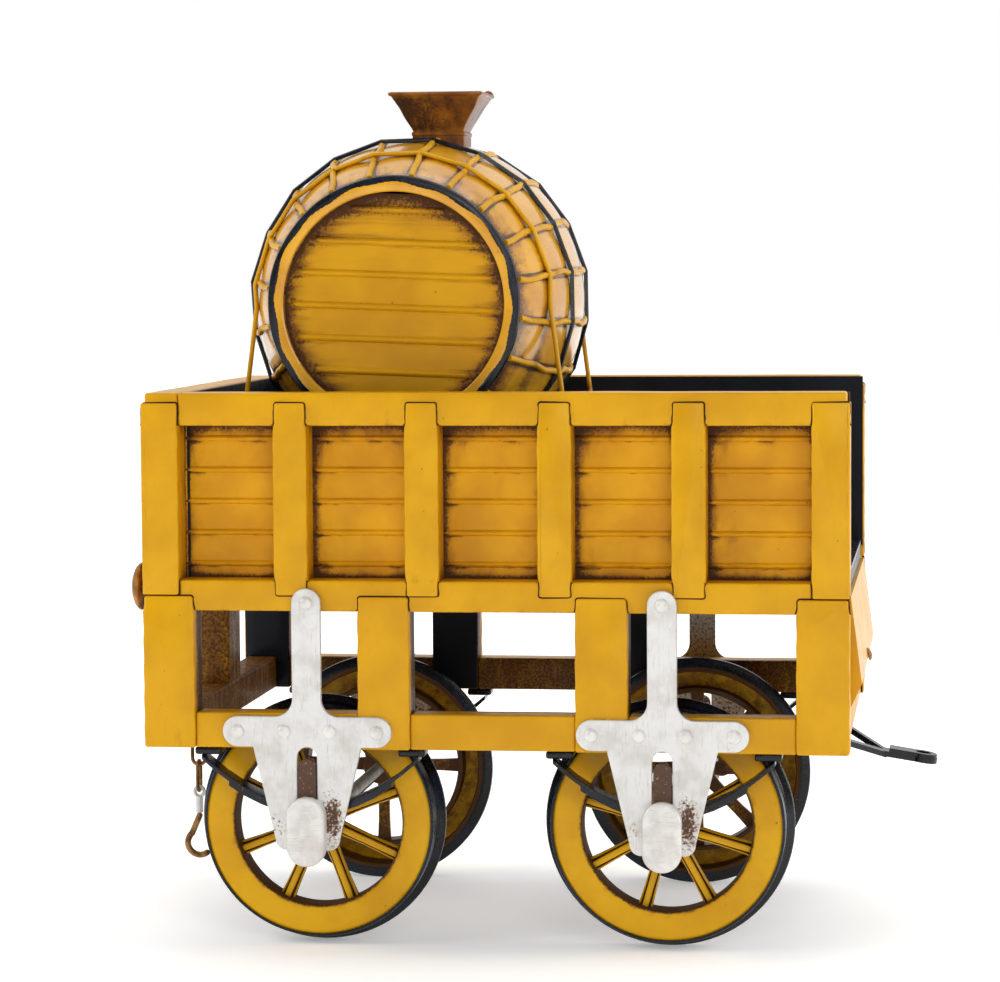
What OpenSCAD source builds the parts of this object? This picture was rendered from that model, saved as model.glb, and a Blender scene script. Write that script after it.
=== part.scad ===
// Four-wheeled railway tender in painted tinplate: an open bunker on a post-and-rail
// underframe, with a water barrel lying across it.
// Millimetres. +X is the drawbar end, +Y the left side, +Z up. The wheels stand on z = 0
// and the origin lies under the middle of the whole outline.

/* [Body] */
// Length of the body over its corner posts
body_l = 170; // [160:1:210]
// Width of the body over its side posts
body_w = 126; // [116:1:155]
// Height of the bunker, from the underside of its bottom rails to the top of its top rails
bunker_h = 52.6; // [45:0.2:66]
// Height of the underframe, from the underside of its lower rails to the bottom rails
underframe_h = 33.2; // [29:0.2:40]
// Height of the underside of the lower rails over the floor
underframe_z = 50; // [49:0.5:56]
// Thickness of the folded sheet
sheet_t = 1; // [0.8:0.1:1.4]
// How far the posts stand proud of the rails
skin_t = 0.8; // [0.6:0.1:1.2]

/* [Rails and posts] */
// Depth of the folded rails behind their faces
rail_d = 8.2; // [6:0.1:10]
// Height of the top rails
top_rail_h = 8; // [6:0.1:10]
// Height of the bottom rails
bottom_rail_h = 7.5; // [6:0.1:9]
// Height of the lower rails
lower_rail_h = 8.6; // [7:0.1:10]
// Width of the posts between the corners
post_w = 8.2; // [6:0.1:10]
// Spacing of the side posts
post_pitch = 31.9; // [26:0.1:40]
// Number of bays in the rear end
rear_bays = 4; // [2:1:5]
// Lap of the post tabs over the rails
post_lap = 3.6; // [2:0.1:4]
// Width of the underframe posts
leg_w = 12.6; // [10:0.1:15]
// Number of bays in each side of the underframe
leg_bays = 3; // [3:1:4]

/* [Panels] */
// Spacing of the raised beads in the panels
bead_pitch = 7.6; // [6:0.1:9]
// Height of a bead over the panel
bead_rise = 0.8; // [0.4:0.1:1]
// Width of a bead
bead_w = 1.8; // [1.2:0.1:2.4]
// Number of beads in a panel
bead_count = 5; // [3:1:6]

/* [Wheels] */
// Radius of the wheel flanges, which stand on the floor
flange_r = 30.4; // [26:0.2:32]
// Height of the flange over the tread
flange_rise = 1.9; // [1.2:0.1:2.4]
// Thickness of the flange
flange_t = 1.8; // [1.2:0.1:2.4]
// Thickness of the tyre under the tread
tyre_t = 0.7; // [0.5:0.1:1.5]
// Radial width of the rim
rim_w = 7.1; // [5:0.1:8]
// Width of the wheel across the rim
wheel_w = 9.4; // [7:0.1:11]
// Distance between the two axles
wheelbase = 85.6; // [72:0.2:100]
// Distance of the rear axle from the rear of the body
rear_overhang = 40.2; // [36:0.2:50]
// Distance between the outer faces of the two wheels on an axle
wheel_span = 101; // [90:0.5:104]
// Number of spokes
spoke_count = 8; // [6:1:10]
// Width of a spoke
spoke_w = 3.6; // [2.6:0.1:5]
// Radius of the wheel hub
hub_r = 5; // [4:0.1:7]
// Radius of the axle
axle_r = 1.6; // [1.2:0.1:2.2]

/* [Running gear] */
// Thickness of the axle guard plates
guard_t = 1.2; // [0.8:0.1:1.6]
// Half the span of a guard's arms
guard_arm = 20.6; // [18:0.1:23]
// Width of a guard's stem
stem_w = 7.1; // [6:0.1:9]
// Width of a guard's slot
slot_w = 4.8; // [4.2:0.1:5.4]
// Width of the axle box cap
box_w = 9.4; // [8:0.1:11]
// Height of the axle box cap
box_h = 16.8; // [14:0.1:18]
// How far the axle box cap stands out of its guard
box_out = 3.2; // [2:0.1:5]
// Radius of the rivet heads
rivet_r = 1.7; // [1.2:0.1:2]
// Half the span of the leaf springs
spring_half = 26.5; // [22:0.1:28]
// Thickness of one spring leaf
leaf_t = 1.1; // [0.8:0.1:1.4]
// Width of the spring leaves
leaf_w = 6; // [4:0.1:7]
// Thickness of the pads over the spring ends
pad_t = 1.9; // [1.2:0.1:2.4]

/* [Barrel] */
// Length of the barrel
barrel_l = 92; // [84:1:100]
// Radius of the barrel at its middle
barrel_r = 41.2; // [36:0.2:45]
// Radius of the barrel at its ends
barrel_end_r = 29.6; // [26:0.2:33]
// Height of the barrel's axis over the bunker floor
barrel_z = 65; // [60:0.5:75]
// Distance of the barrel's axis from the rear of the body
barrel_x = 59; // [56:0.5:64]
// Thickness of the barrel's wall
barrel_t = 1.2; // [0.8:0.1:1.6]
// Depth of the barrel heads behind the rim
head_depth = 3; // [2:0.1:5]
// Number of ribs round the barrel
rib_count = 20; // [16:2:24]
// Width of a rib
rib_w = 1.3; // [0.8:0.1:1.8]
// Height of a rib
rib_h = 0.9; // [0.5:0.1:1.2]
// Distance of the black straps from the middle of the barrel
strap_y = 16; // [13:0.5:20]
// Width of the black straps
strap_w = 3; // [2:0.1:4]
// Distance of the tie bands from the middle of the barrel
tie_y = 31; // [26:0.5:34]
// Width of the tie bands
tie_w = 1.8; // [1.2:0.1:2.4]
// Width of the hoops at the ends
chime_w = 2.2; // [1.6:0.1:3]

/* [Hopper] */
// Width of the hopper over its rim
hopper_w = 24; // [20:0.5:28]
// Width of the hopper at its base
hopper_base_w = 13.6; // [12:0.2:15]
// Height of the hopper
hopper_h = 11; // [8:0.5:14]
// Distance of the hopper in front of the barrel's axis
hopper_x = 5.4; // [0:0.2:7]

/* [Couplings] */
// Radius of the buffer heads
buffer_r = 5.9; // [4.5:0.1:6.5]
// Reach of the buffers behind the body
buffer_reach = 7.2; // [6:0.1:9]
// Distance of the buffers from the middle
buffer_y = 43; // [36:0.5:48]
// Height of the buffer heads' middle over the underside of the bottom rails
buffer_z = 4; // [3.5:0.1:4.5]
// Half the spread of the drawbar's legs
drawbar_spread = 14; // [11:0.5:17]
// Length of the drawbar's legs along their slope
leg_l = 12; // [10:0.5:14]
// Length of the drawbar's bar
bar_l = 13.9; // [12:0.1:18]
// Thickness of the drawbar
bar_t = 1.4; // [1:0.1:2]
// Radius of the coupling hole in the drawbar
eye_r = 2; // [1.5:0.1:2.2]
// Length of a chain link
link_l = 8.8; // [8:0.1:9.2]
// Width of a chain link
link_w = 4.4; // [4:0.1:5]
// Diameter of the chain's wire
link_wire = 0.95; // [0.8:0.05:1]
// Diameter of the hook's wire
hook_wire = 1.6; // [1.2:0.1:1.8]
// Radius of the hook's bend
hook_r = 3.2; // [2.8:0.1:3.6]

/* [Fits] */
// Radial gap of the axles and the drawbar's pin in their bores
running_gap = 0.05; // [0.02:0.01:0.1]
// Gap beside a sliding axle box
slide_gap = 0.15; // [0.1:0.05:0.3]
// Gap between parts that move past each other
clear_gap = 0.3; // [0.2:0.05:0.4]
// Gap of the chain's wires where they bear on each other
chain_gap = 0.04; // [0.02:0.01:0.1]

/* [Hidden] */

$fn = 64;

paint = "goldenrod";
old_paint = "darkgoldenrod";
bare = "silver";
black = [0.12, 0.12, 0.14];
bronze = "peru";

// drawbar: its pivot hangs under the front beam, and the legs and the bar slope down
pivot_drop = 2.8;
pivot_in = 4.6;
leg_slope = 25;
bar_slope = 9;
pivot_r = 1.05;
drawbar_reach = leg_l * cos(leg_slope) + bar_l * cos(bar_slope) - pivot_in;

// the outline runs from the buffer heads to the end of the drawbar
x_rear = -(buffer_reach + body_l + drawbar_reach) / 2 + buffer_reach;
x_front = x_rear + body_l;
side_y = body_w / 2;
face_y = side_y - skin_t;
panel_y = face_y - rail_d;
end_d = skin_t + rail_d;
inner_y = panel_y - sheet_t;

lower_top_z = underframe_z + lower_rail_h;
bunker_z = underframe_z + underframe_h;
rail_top_z = bunker_z + bottom_rail_h;
top_z = bunker_z + bunker_h;
top_rail_z = top_z - top_rail_h;
post_h = top_rail_z - rail_top_z;
face_h = post_lap + post_h + top_rail_h - 2.5;
floor_top_z = rail_top_z + sheet_t;

corner_w = end_d;
mid_posts = ceil((body_l - corner_w) / post_pitch - 0.5) - 1;
side_post_x = concat([x_rear], [for (i = [1:mid_posts]) x_rear + (corner_w - post_w) / 2
    + i * post_pitch], [x_front - corner_w]);
side_post_w = concat([corner_w], [for (i = [1:mid_posts]) post_w], [corner_w]);
rear_pitch = (body_w - corner_w) / rear_bays;
rear_post_y = [for (i = [1:rear_bays - 1]) corner_w / 2 - side_y + i * rear_pitch];
centre_post_w = 14;
leg_pitch = (body_l - leg_w) / leg_bays;
leg_x = [for (i = [0:leg_bays]) x_rear + i * leg_pitch];

axle_z = flange_r;
axle_x = [x_rear + rear_overhang, x_rear + rear_overhang + wheelbase];
tread_r = flange_r - flange_rise;
rim_r = tread_r - tyre_t;
rim_in_r = rim_r - rim_w;
wheel_y = wheel_span / 2;

guard_y = side_y;
arm_r = lower_rail_h / 2 - 0.6;
arm_z = underframe_z + lower_rail_h / 2;
stem_top_z = rail_top_z - 1.8;
leg_bottom_z = axle_z - 4.8;
guard_waist = 13.2;
guard_toe = 7.9;
arm_fillet = 4.3;
rivet_h = 0.9;
rivet_out = guard_arm - 3.6;
rivet_in = 5.6;

block_w = 8.6;
block_h = 6.4;
block_depth = 7.4;
block_y = guard_y - 0.4 - block_depth;
neck_h = 9;
bore_r = axle_r + running_gap;
bore_end_y = guard_y + guard_t + box_out - 1.4;
block_top_z = axle_z + block_h / 2;

leaf_y = panel_y + 1.2;
pad_l = 6.6;
pad_z = underframe_z - pad_t;
pad_bevel = 0.8;
short_half = spring_half * 0.75;
leaf_base_z = block_top_z + 0.1;
leaf_curve = (pad_z - leaf_base_z - 2 * leaf_t) / (spring_half * spring_half);

axis_x = x_rear + barrel_x;
axis_z = floor_top_z + barrel_z;
arc_r = (pow(barrel_l / 2, 2) + pow(barrel_r - barrel_end_r, 2)) / (2 * (barrel_r - barrel_end_r));
profile_steps = 14;
rib_step = 360 / rib_count;
rib_phase = 10.5;
rib_clear = rib_h + 0.1;
head_y = barrel_l / 2 - head_depth;
strap_t = 0.6;
cradle_t = 3;
cradle_y = 22;
cradle_half = 30;
tie_foot_x = 45.5;
hole_r = 5;
rim_lip = 2.3;

apron_out = 2.6;
apron_low = 7.4;
hopper_z = axis_z + barrel_r + 0.65;
hopper_wall = 0.8;
hopper_rim = 1;

eye_ring_r = 1.25;
eye_x = x_rear + skin_t - eye_ring_r - link_wire / 2;
eye_z = underframe_z + 1.4;
link_pitch = link_l - 2 * link_wire - chain_gap;
link_top_z = eye_z - eye_ring_r + link_wire + chain_gap - (link_l - link_wire) / 2;
collar_eye_z = link_top_z - 2 * link_pitch - (link_l - link_wire) / 2 + link_wire + chain_gap
    - eye_ring_r;
collar_h = 4.2;
collar_r = 0.95;
hook_top_z = collar_eye_z - eye_ring_r - collar_h;

pivot_x = x_front - pivot_in;
pivot_z = underframe_z - pivot_drop;
drawbar_end_r = 3.7;

// radius of the barrel's side at a distance y from its middle: an arc over its length
function side_r(y) = barrel_r - arc_r + sqrt(arc_r * arc_r - y * y);
// points of that arc, moved outwards by a height
function arc_points(height, half) = [for (i = [-profile_steps:profile_steps])
    [side_r(i / profile_steps * half) + height, i / profile_steps * half]];

// a thing made for the left side, or its mirror image on the right
module on_side(side) mirror([0, side < 0 ? 1 : 0, 0]) children();

// children turned so that their local Z runs along +Y
module along_y() rotate([-90, 0, 0]) children();

// folded channel along X on the left side, with its back open
module channel_x(x0, x1, z0, h) {
    difference() {
        translate([x0, panel_y, z0]) cube([x1 - x0, rail_d, h]);
        translate([x0 + sheet_t, panel_y - 1, z0 + sheet_t])
            cube([x1 - x0 - 2 * sheet_t, rail_d - sheet_t + 1, h - 2 * sheet_t]);
    }
}

// folded channel along Y behind an end face at x0, with its inner side open
module channel_end(x0, dir, half, z0, h) {
    translate([x0, 0, 0]) mirror([dir > 0 ? 1 : 0, 0, 0]) difference() {
        translate([skin_t, -half, z0]) cube([rail_d, 2 * half, h]);
        translate([skin_t + sheet_t, sheet_t - half, z0 + sheet_t])
            cube([rail_d, 2 * half - 2 * sheet_t, h - 2 * sheet_t]);
    }
}

// upright channel between the bunker's rails on the left side, its face lapping over them
module post(x0) {
    difference() {
        translate([x0, panel_y, rail_top_z]) cube([post_w, rail_d, post_h]);
        translate([x0 + sheet_t, panel_y - 1, rail_top_z - 1])
            cube([post_w - 2 * sheet_t, rail_d, post_h + 2]);
    }
    translate([x0, face_y, rail_top_z - post_lap]) cube([post_w, skin_t, face_h]);
}

// square corner post, with a face that laps over the rails on both sides of the corner
module corner_post(x0) {
    end_x = x0 < 0 ? x0 : x0 + corner_w - skin_t;
    difference() {
        translate([x0, panel_y, rail_top_z]) cube([corner_w, end_d, post_h]);
        translate([x0 + sheet_t, panel_y + sheet_t, rail_top_z - 1])
            cube([corner_w - 2 * sheet_t, end_d - 2 * sheet_t, post_h + 2]);
    }
    translate([x0, face_y, rail_top_z - post_lap]) cube([corner_w, skin_t, face_h]);
    translate([end_x, panel_y, rail_top_z - post_lap]) cube([skin_t, end_d, face_h]);
}

// radius of the circle whose segment has this width and rise
function segment_r(w, h) = (w * w / 4 + h * h) / (2 * h);

// raised bead of a given length along X, standing on the plane y = 0
module bead(length) {
    r = segment_r(bead_w, bead_rise);
    intersection() {
        translate([0, bead_rise - r, 0]) rotate([0, 90, 0]) cylinder(r = r, h = length);
        translate([0, 0, -bead_w]) cube([length, bead_w, 2 * bead_w]);
    }
}

// low dome standing on the plane z = 0
module dome(r, h) {
    ball = segment_r(2 * r, h);
    rotate_extrude() intersection() {
        translate([0, h - ball]) circle(r = ball);
        square([r, h]);
    }
}

function bead_z(k) = (rail_top_z + top_rail_z) / 2 + (k - (bead_count - 1) / 2) * bead_pitch;

// ---- bunker ----

module side_panel(side) {
    color(old_paint) on_side(side) {
        difference() {
            translate([x_rear + end_d, inner_y, bunker_z])
                cube([body_l - end_d - skin_t, sheet_t, bunker_h]);
            translate([x_front - end_d, inner_y - 1, bunker_z - 1])
                cube([end_d, sheet_t + 2, bottom_rail_h + 1]);
        }
        for (bay = [0:len(side_post_x) - 2], k = [0:bead_count - 1]) {
            x0 = side_post_x[bay] + side_post_w[bay];
            translate([x0, panel_y, bead_z(k)]) bead(side_post_x[bay + 1] - x0);
        }
    }
}
module side_panel_left() side_panel(1);
module side_panel_right() side_panel(-1);

module rear_panel() {
    gap = rear_pitch - (post_w + corner_w) / 2;
    color(old_paint) {
        translate([x_rear + end_d, -inner_y, bunker_z]) cube([sheet_t, 2 * inner_y, bunker_h]);
        for (bay = [0:rear_bays - 1], k = [0:bead_count - 1]) {
            y0 = bay == 0 ? -panel_y : rear_post_y[bay - 1] + post_w / 2;
            y1 = bay == rear_bays - 1 ? panel_y : rear_post_y[bay] - post_w / 2;
            translate([x_rear + end_d, y0, bead_z(k)]) rotate([0, 0, 90]) bead(y1 - y0);
        }
    }
}

module floor_plate() {
    color(black) translate([x_rear + end_d + sheet_t, -inner_y, rail_top_z])
        cube([body_l - end_d - sheet_t - skin_t, 2 * inner_y, sheet_t]);
}

module top_rail(side) {
    color(paint) on_side(side)
        channel_x(x_rear + end_d, x_front - skin_t, top_rail_z, top_rail_h);
}
module top_rail_left() top_rail(1);
module top_rail_right() top_rail(-1);
module top_rail_rear() color(paint) channel_end(x_rear, -1, face_y, top_rail_z, top_rail_h);

module bottom_rail(side) {
    color(paint) on_side(side)
        channel_x(x_rear + end_d, x_front - end_d, bunker_z, bottom_rail_h);
}
module bottom_rail_left() bottom_rail(1);
module bottom_rail_right() bottom_rail(-1);
module bottom_rail_rear() color(paint) channel_end(x_rear, -1, face_y, bunker_z, bottom_rail_h);
module bottom_rail_front() color(paint) channel_end(x_front, 1, face_y, bunker_z, bottom_rail_h);

module side_posts(side) {
    color(paint) on_side(side) {
        corner_post(x_rear);
        corner_post(x_front - corner_w);
        for (i = [1:mid_posts]) post(side_post_x[i]);
    }
}
module side_posts_left() side_posts(1);
module side_posts_right() side_posts(-1);

module rear_posts() {
    color(paint) for (y = rear_post_y) translate([x_rear, y - post_w / 2, 0]) {
        difference() {
            translate([skin_t, 0, rail_top_z]) cube([rail_d, post_w, post_h]);
            translate([skin_t, sheet_t, rail_top_z - 1])
                cube([rail_d + 1, post_w - 2 * sheet_t, post_h + 2]);
        }
        translate([0, 0, rail_top_z - post_lap]) cube([skin_t, post_w, face_h]);
    }
}

// ---- underframe ----

// square tube under the bottom rail, with its face lapping up over it
module leg(x0) {
    difference() {
        translate([x0, panel_y, underframe_z]) cube([leg_w, end_d, underframe_h]);
        translate([x0 + sheet_t, panel_y + sheet_t, underframe_z - 1])
            cube([leg_w - 2 * sheet_t, end_d - 2 * sheet_t, underframe_h + 2]);
    }
    translate([x0, face_y, underframe_z]) cube([leg_w, skin_t, underframe_h + post_lap]);
}

module underframe_posts(side) color(paint) on_side(side) for (x0 = leg_x) leg(x0);
module underframe_posts_left() underframe_posts(1);
module underframe_posts_right() underframe_posts(-1);

module lower_rail(side) {
    color(paint) on_side(side) for (i = [0:leg_bays - 1])
        channel_x(leg_x[i] + leg_w, leg_x[i + 1], underframe_z, lower_rail_h);
}
module lower_rail_left() lower_rail(1);
module lower_rail_right() lower_rail(-1);

// lower beam across one end, with a middle post up to the bottom rail
module headstock(x0, dir) {
    channel_end(x0, dir, panel_y, underframe_z, lower_rail_h);
    translate([x0, 0, 0]) mirror([dir > 0 ? 1 : 0, 0, 0]) difference() {
        translate([skin_t, -centre_post_w / 2, lower_top_z])
            cube([rail_d, centre_post_w, underframe_h - lower_rail_h]);
        translate([skin_t + sheet_t, sheet_t - centre_post_w / 2, lower_top_z - 1])
            cube([rail_d, centre_post_w - 2 * sheet_t, underframe_h]);
    }
}
module headstock_rear() color(paint) headstock(x_rear, -1);
module headstock_front() color(paint) headstock(x_front, 1);

// plank in front of the front headstock: it leans out downwards and folds back at its foot
module front_apron() {
    back = x_front - skin_t;
    color(paint) translate([0, panel_y, 0]) rotate([90, 0, 0]) linear_extrude(2 * panel_y)
        polygon([[back, lower_top_z], [x_front + apron_out, lower_top_z + apron_low],
            [x_front, bunker_z + post_lap], [back, bunker_z + post_lap]]);
}

module front_bolt() {
    rise = bunker_z + post_lap - lower_top_z - apron_low;
    bolt_up = 0.9;
    color(bronze) translate([x_front + apron_out * (1 - bolt_up / rise), 0,
        lower_top_z + apron_low + bolt_up]) rotate([0, 90 - atan(apron_out / rise), 0])
        dome(1.9, 1.3);
}

module buffers() {
    head_t = 1;
    stem_l = buffer_reach + skin_t - head_t - 2.2;
    color(bronze) for (side = [-1, 1])
        translate([x_rear + skin_t, side * buffer_y, bunker_z + buffer_z]) rotate([0, -90, 0]) {
            cylinder(r = 3.2, h = 0.8);
            cylinder(r = 2, h = stem_l);
            translate([0, 0, stem_l]) cylinder(r = buffer_r, h = head_t);
            translate([0, 0, stem_l + head_t]) dome(buffer_r, 2.2);
        }
}

// ---- running gear ----

// outline of an axle guard in its own plane, x from the axle and y from the floor
module guard_outline() {
    toe_r = (guard_toe - slot_w / 2) / 2;
    difference() {
        union() {
            translate([-stem_w / 2, arm_z]) square([stem_w, stem_top_z - arm_z - stem_w / 2]);
            translate([0, stem_top_z - stem_w / 2]) circle(r = stem_w / 2);
            translate([arm_r - guard_arm, arm_z - arm_r])
                square([2 * (guard_arm - arm_r), 2 * arm_r]);
            for (s = [-1, 1]) translate([s * (guard_arm - arm_r), arm_z]) circle(r = arm_r);
            for (s = [-1, 1]) translate([s * stem_w / 2, arm_z + arm_r]) difference() {
                translate([s < 0 ? -arm_fillet : 0, 0]) square([arm_fillet, arm_fillet]);
                translate([s * arm_fillet, arm_fillet]) circle(r = arm_fillet);
            }
            polygon([[-guard_waist, arm_z - arm_r], [-guard_toe, leg_bottom_z + toe_r],
                [guard_toe, leg_bottom_z + toe_r], [guard_waist, arm_z - arm_r]]);
            for (s = [-1, 1]) translate([s * (guard_toe - toe_r), leg_bottom_z + toe_r])
                circle(r = toe_r);
        }
        translate([-slot_w / 2, leg_bottom_z - 1])
            square([slot_w, arm_z - arm_r - slot_w / 2 - leg_bottom_z + 1]);
        translate([0, arm_z - arm_r - slot_w / 2]) circle(r = slot_w / 2);
    }
}

module axle_guard(end, side) {
    color(bare) on_side(side) translate([axle_x[end], guard_y + guard_t, 0])
        rotate([90, 0, 0]) linear_extrude(guard_t) guard_outline();
}
module axle_guard_rear_left() axle_guard(0, 1);
module axle_guard_rear_right() axle_guard(0, -1);
module axle_guard_front_left() axle_guard(1, 1);
module axle_guard_front_right() axle_guard(1, -1);

module guard_rivets() {
    places = concat([[0, stem_top_z - stem_w / 2]],
        [for (x = [-rivet_out, -rivet_in, rivet_in, rivet_out]) [x, arm_z]]);
    color(bare) for (x = axle_x, side = [-1, 1], p = places)
        on_side(side) translate([x + p[0], guard_y + guard_t, p[1]]) along_y()
            dome(rivet_r, rivet_h);
}

// rounded pads under the lower rails, which the spring ends bear on
module spring_pads() {
    color(black) for (x = axle_x, side = [-1, 1], end = [-1, 1]) on_side(side)
        translate([x + end * (spring_half - 1.6), leaf_y, pad_z + pad_t]) difference() {
            translate([-pad_l / 2, 0, -pad_t]) cube([pad_l, leaf_w, pad_t]);
            for (s = [-1, 1]) translate([s * pad_l / 2, -1, -pad_t]) rotate([0, 45, 0])
                translate([-pad_bevel, 0, -pad_bevel])
                    cube([2 * pad_bevel, leaf_w + 2, 2 * pad_bevel]);
        }
}

// points along the lower face of the leaf n leaves up from the lowest, which is a parabola
function leaf_points(x0, x1, n) = [for (i = [0:10]) let (x = x0 + (x1 - x0) * i / 10)
    [x, leaf_base_z + n * leaf_t + leaf_curve * x * x]];

// a short leaf under a long one, seen from the side
module leaf_outline() polygon(concat(leaf_points(-spring_half, -short_half, 1),
    leaf_points(-short_half, short_half, 0), leaf_points(short_half, spring_half, 1),
    leaf_points(spring_half, -spring_half, 2)));

module leaf_springs(end) {
    color(black) for (side = [-1, 1]) on_side(side)
        translate([axle_x[end], leaf_y + leaf_w, 0]) rotate([90, 0, 0])
            linear_extrude(leaf_w) leaf_outline();
}
module leaf_springs_rear() leaf_springs(0);
module leaf_springs_front() leaf_springs(1);

// axle box: a cap outside the guard, a neck in its slot and a block inside with the bore
module axle_box(end, side) {
    neck_w = slot_w - 2 * slide_gap;
    neck_y = block_y + block_depth - 1;
    cap_y = guard_y + guard_t + slide_gap;
    color(bare) on_side(side) translate([axle_x[end], 0, axle_z]) difference() {
        union() {
            translate([0, cap_y + box_out, 0]) rotate([90, 0, 0]) linear_extrude(box_out) {
                square([box_w, box_h - box_w], center = true);
                for (s = [-1, 1]) translate([0, s * (box_h - box_w) / 2]) circle(r = box_w / 2);
            }
            translate([-neck_w / 2, neck_y, -neck_h / 2]) cube([neck_w, cap_y - neck_y, neck_h]);
            translate([-block_w / 2, block_y, -block_h / 2]) cube([block_w, block_depth, block_h]);
        }
        translate([0, block_y - 1, 0]) along_y() cylinder(r = bore_r, h = bore_end_y - block_y + 1);
    }
}
module axle_box_rear_left() axle_box(0, 1);
module axle_box_rear_right() axle_box(0, -1);
module axle_box_front_left() axle_box(1, 1);
module axle_box_front_right() axle_box(1, -1);

// wheel: a rim folded to a channel that is open at the back, spokes with a ridge, and a hub
module wheel(end, side, turn) {
    web = 1.3;
    spoke_t = 3;
    spoke_z = wheel_w - 5.6;
    color(paint) on_side(side) translate([axle_x[end], wheel_y - wheel_w, axle_z]) along_y()
        difference() {
            union() {
                rotate_extrude() polygon([[rim_in_r, 2], [rim_in_r + web, 2],
                    [rim_in_r + web, wheel_w - web], [rim_r - web, wheel_w - web],
                    [rim_r - web, 0], [rim_r, 0], [rim_r, wheel_w], [rim_in_r, wheel_w]]);
                for (i = [0:spoke_count - 1]) rotate([0, 0, -turn - i * 360 / spoke_count]) {
                    translate([0, -spoke_w / 2, spoke_z])
                        cube([rim_in_r + web / 2, spoke_w, spoke_t / 2]);
                    translate([0, -spoke_w / 4, spoke_z])
                        cube([rim_in_r + web / 2, spoke_w / 2, spoke_t]);
                }
                cylinder(r = hub_r, h = wheel_w - 1);
            }
            translate([0, 0, -1]) cylinder(r = axle_r, h = wheel_w + 2);
        }
}
module wheel_rear_left() wheel(0, 1, 0);
module wheel_rear_right() wheel(0, -1, 21);
module wheel_front_left() wheel(1, 1, 0);
module wheel_front_right() wheel(1, -1, 29);

module tyres(end) {
    color(black) for (side = [-1, 1]) on_side(side)
        translate([axle_x[end], wheel_y - wheel_w, axle_z]) along_y() rotate_extrude()
            polygon([[rim_r, 0], [flange_r, 0], [flange_r, flange_t], [tread_r, flange_t + 0.6],
                [tread_r, wheel_w], [rim_r, wheel_w]]);
}
module tyres_rear() tyres(0);
module tyres_front() tyres(1);

module axle(end) {
    half = bore_end_y - clear_gap;
    color(bare) translate([axle_x[end], 0, axle_z]) {
        translate([0, -half, 0]) along_y() cylinder(r = axle_r, h = 2 * half);
        for (side = [-1, 1]) on_side(side) translate([0, wheel_y - 1, 0]) along_y()
            cylinder(r = axle_r + 1.2, h = block_y - clear_gap - wheel_y + 1);
    }
}
module axle_rear() axle(0);
module axle_front() axle(1);

// ---- barrel ----

module at_barrel() translate([axis_x, 0, axis_z]) along_y() children();

// hopper's place over the barrel, with its base on z = 0
module at_hopper() translate([axis_x + hopper_x, 0, hopper_z]) children();

module barrel_shell() {
    half = barrel_l / 2;
    rim_in = side_r(half) - rim_lip;
    wall_in = side_r(head_y) - barrel_t;
    color(paint) difference() {
        at_barrel() rotate_extrude() polygon(concat(arc_points(0, half),
            [[rim_in, half], [rim_in, head_y], [wall_in, head_y]],
            [for (p = arc_points(-barrel_t, head_y - 1)) [p[0], -p[1]]],
            [[wall_in, -head_y], [rim_in, -head_y], [rim_in, -half]]));
        at_hopper() translate([0, 0, -barrel_r / 2]) cylinder(r = hole_r + 0.2, h = barrel_r);
    }
}

module barrel_head(side) {
    plate_r = side_r(head_y) - barrel_t - 0.15;
    bead_step = 7.9;
    bead_lift = 3;
    bead_r = side_r(barrel_l / 2) - 5;
    color(paint) on_side(side) translate([axis_x, head_y, axis_z]) {
        translate([0, -sheet_t, 0]) along_y() cylinder(r = plate_r, h = sheet_t);
        for (k = [0:5]) {
            z = bead_lift + (k - 2.5) * bead_step;
            half = sqrt(bead_r * bead_r - z * z);
            translate([-half, 0, z]) bead(2 * half);
        }
    }
}
module barrel_head_left() barrel_head(1);
module barrel_head_right() barrel_head(-1);

// wires along the barrel's side, cut off round the hopper's neck
module barrel_ribs() {
    half = barrel_l / 2 - chime_w - 0.1;
    lift = 0.06;
    color(paint) difference() {
        at_barrel() for (i = [0:rib_count - 1]) rotate([90, 0, -rib_phase - i * rib_step])
            translate([0, 0, -rib_w / 2]) linear_extrude(rib_w)
                polygon(concat(arc_points(lift, half),
                    [for (i = [profile_steps:-1:-profile_steps])
                        [side_r(i / profile_steps * half) + rib_h, i / profile_steps * half]]));
        at_hopper() translate([0, 0, -barrel_r / 2]) cylinder(r = hole_r + 0.4, h = barrel_r);
    }
}

// ring round the barrel at a distance y from its middle, a height over its side
module ring(y, w, height, t) {
    rotate_extrude() polygon([[side_r(y - w / 2) + height, y - w / 2],
        [side_r(y - w / 2) + height + t, y - w / 2], [side_r(y + w / 2) + height + t, y + w / 2],
        [side_r(y + w / 2) + height, y + w / 2]]);
}

module barrel_hoops() {
    color(black) at_barrel() for (s = [-1, 1]) {
        ring(s * strap_y, strap_w, rib_clear, strap_t);
        ring(s * (barrel_l / 2 - chime_w / 2), chime_w, 0.05, 1);
    }
}

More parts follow.
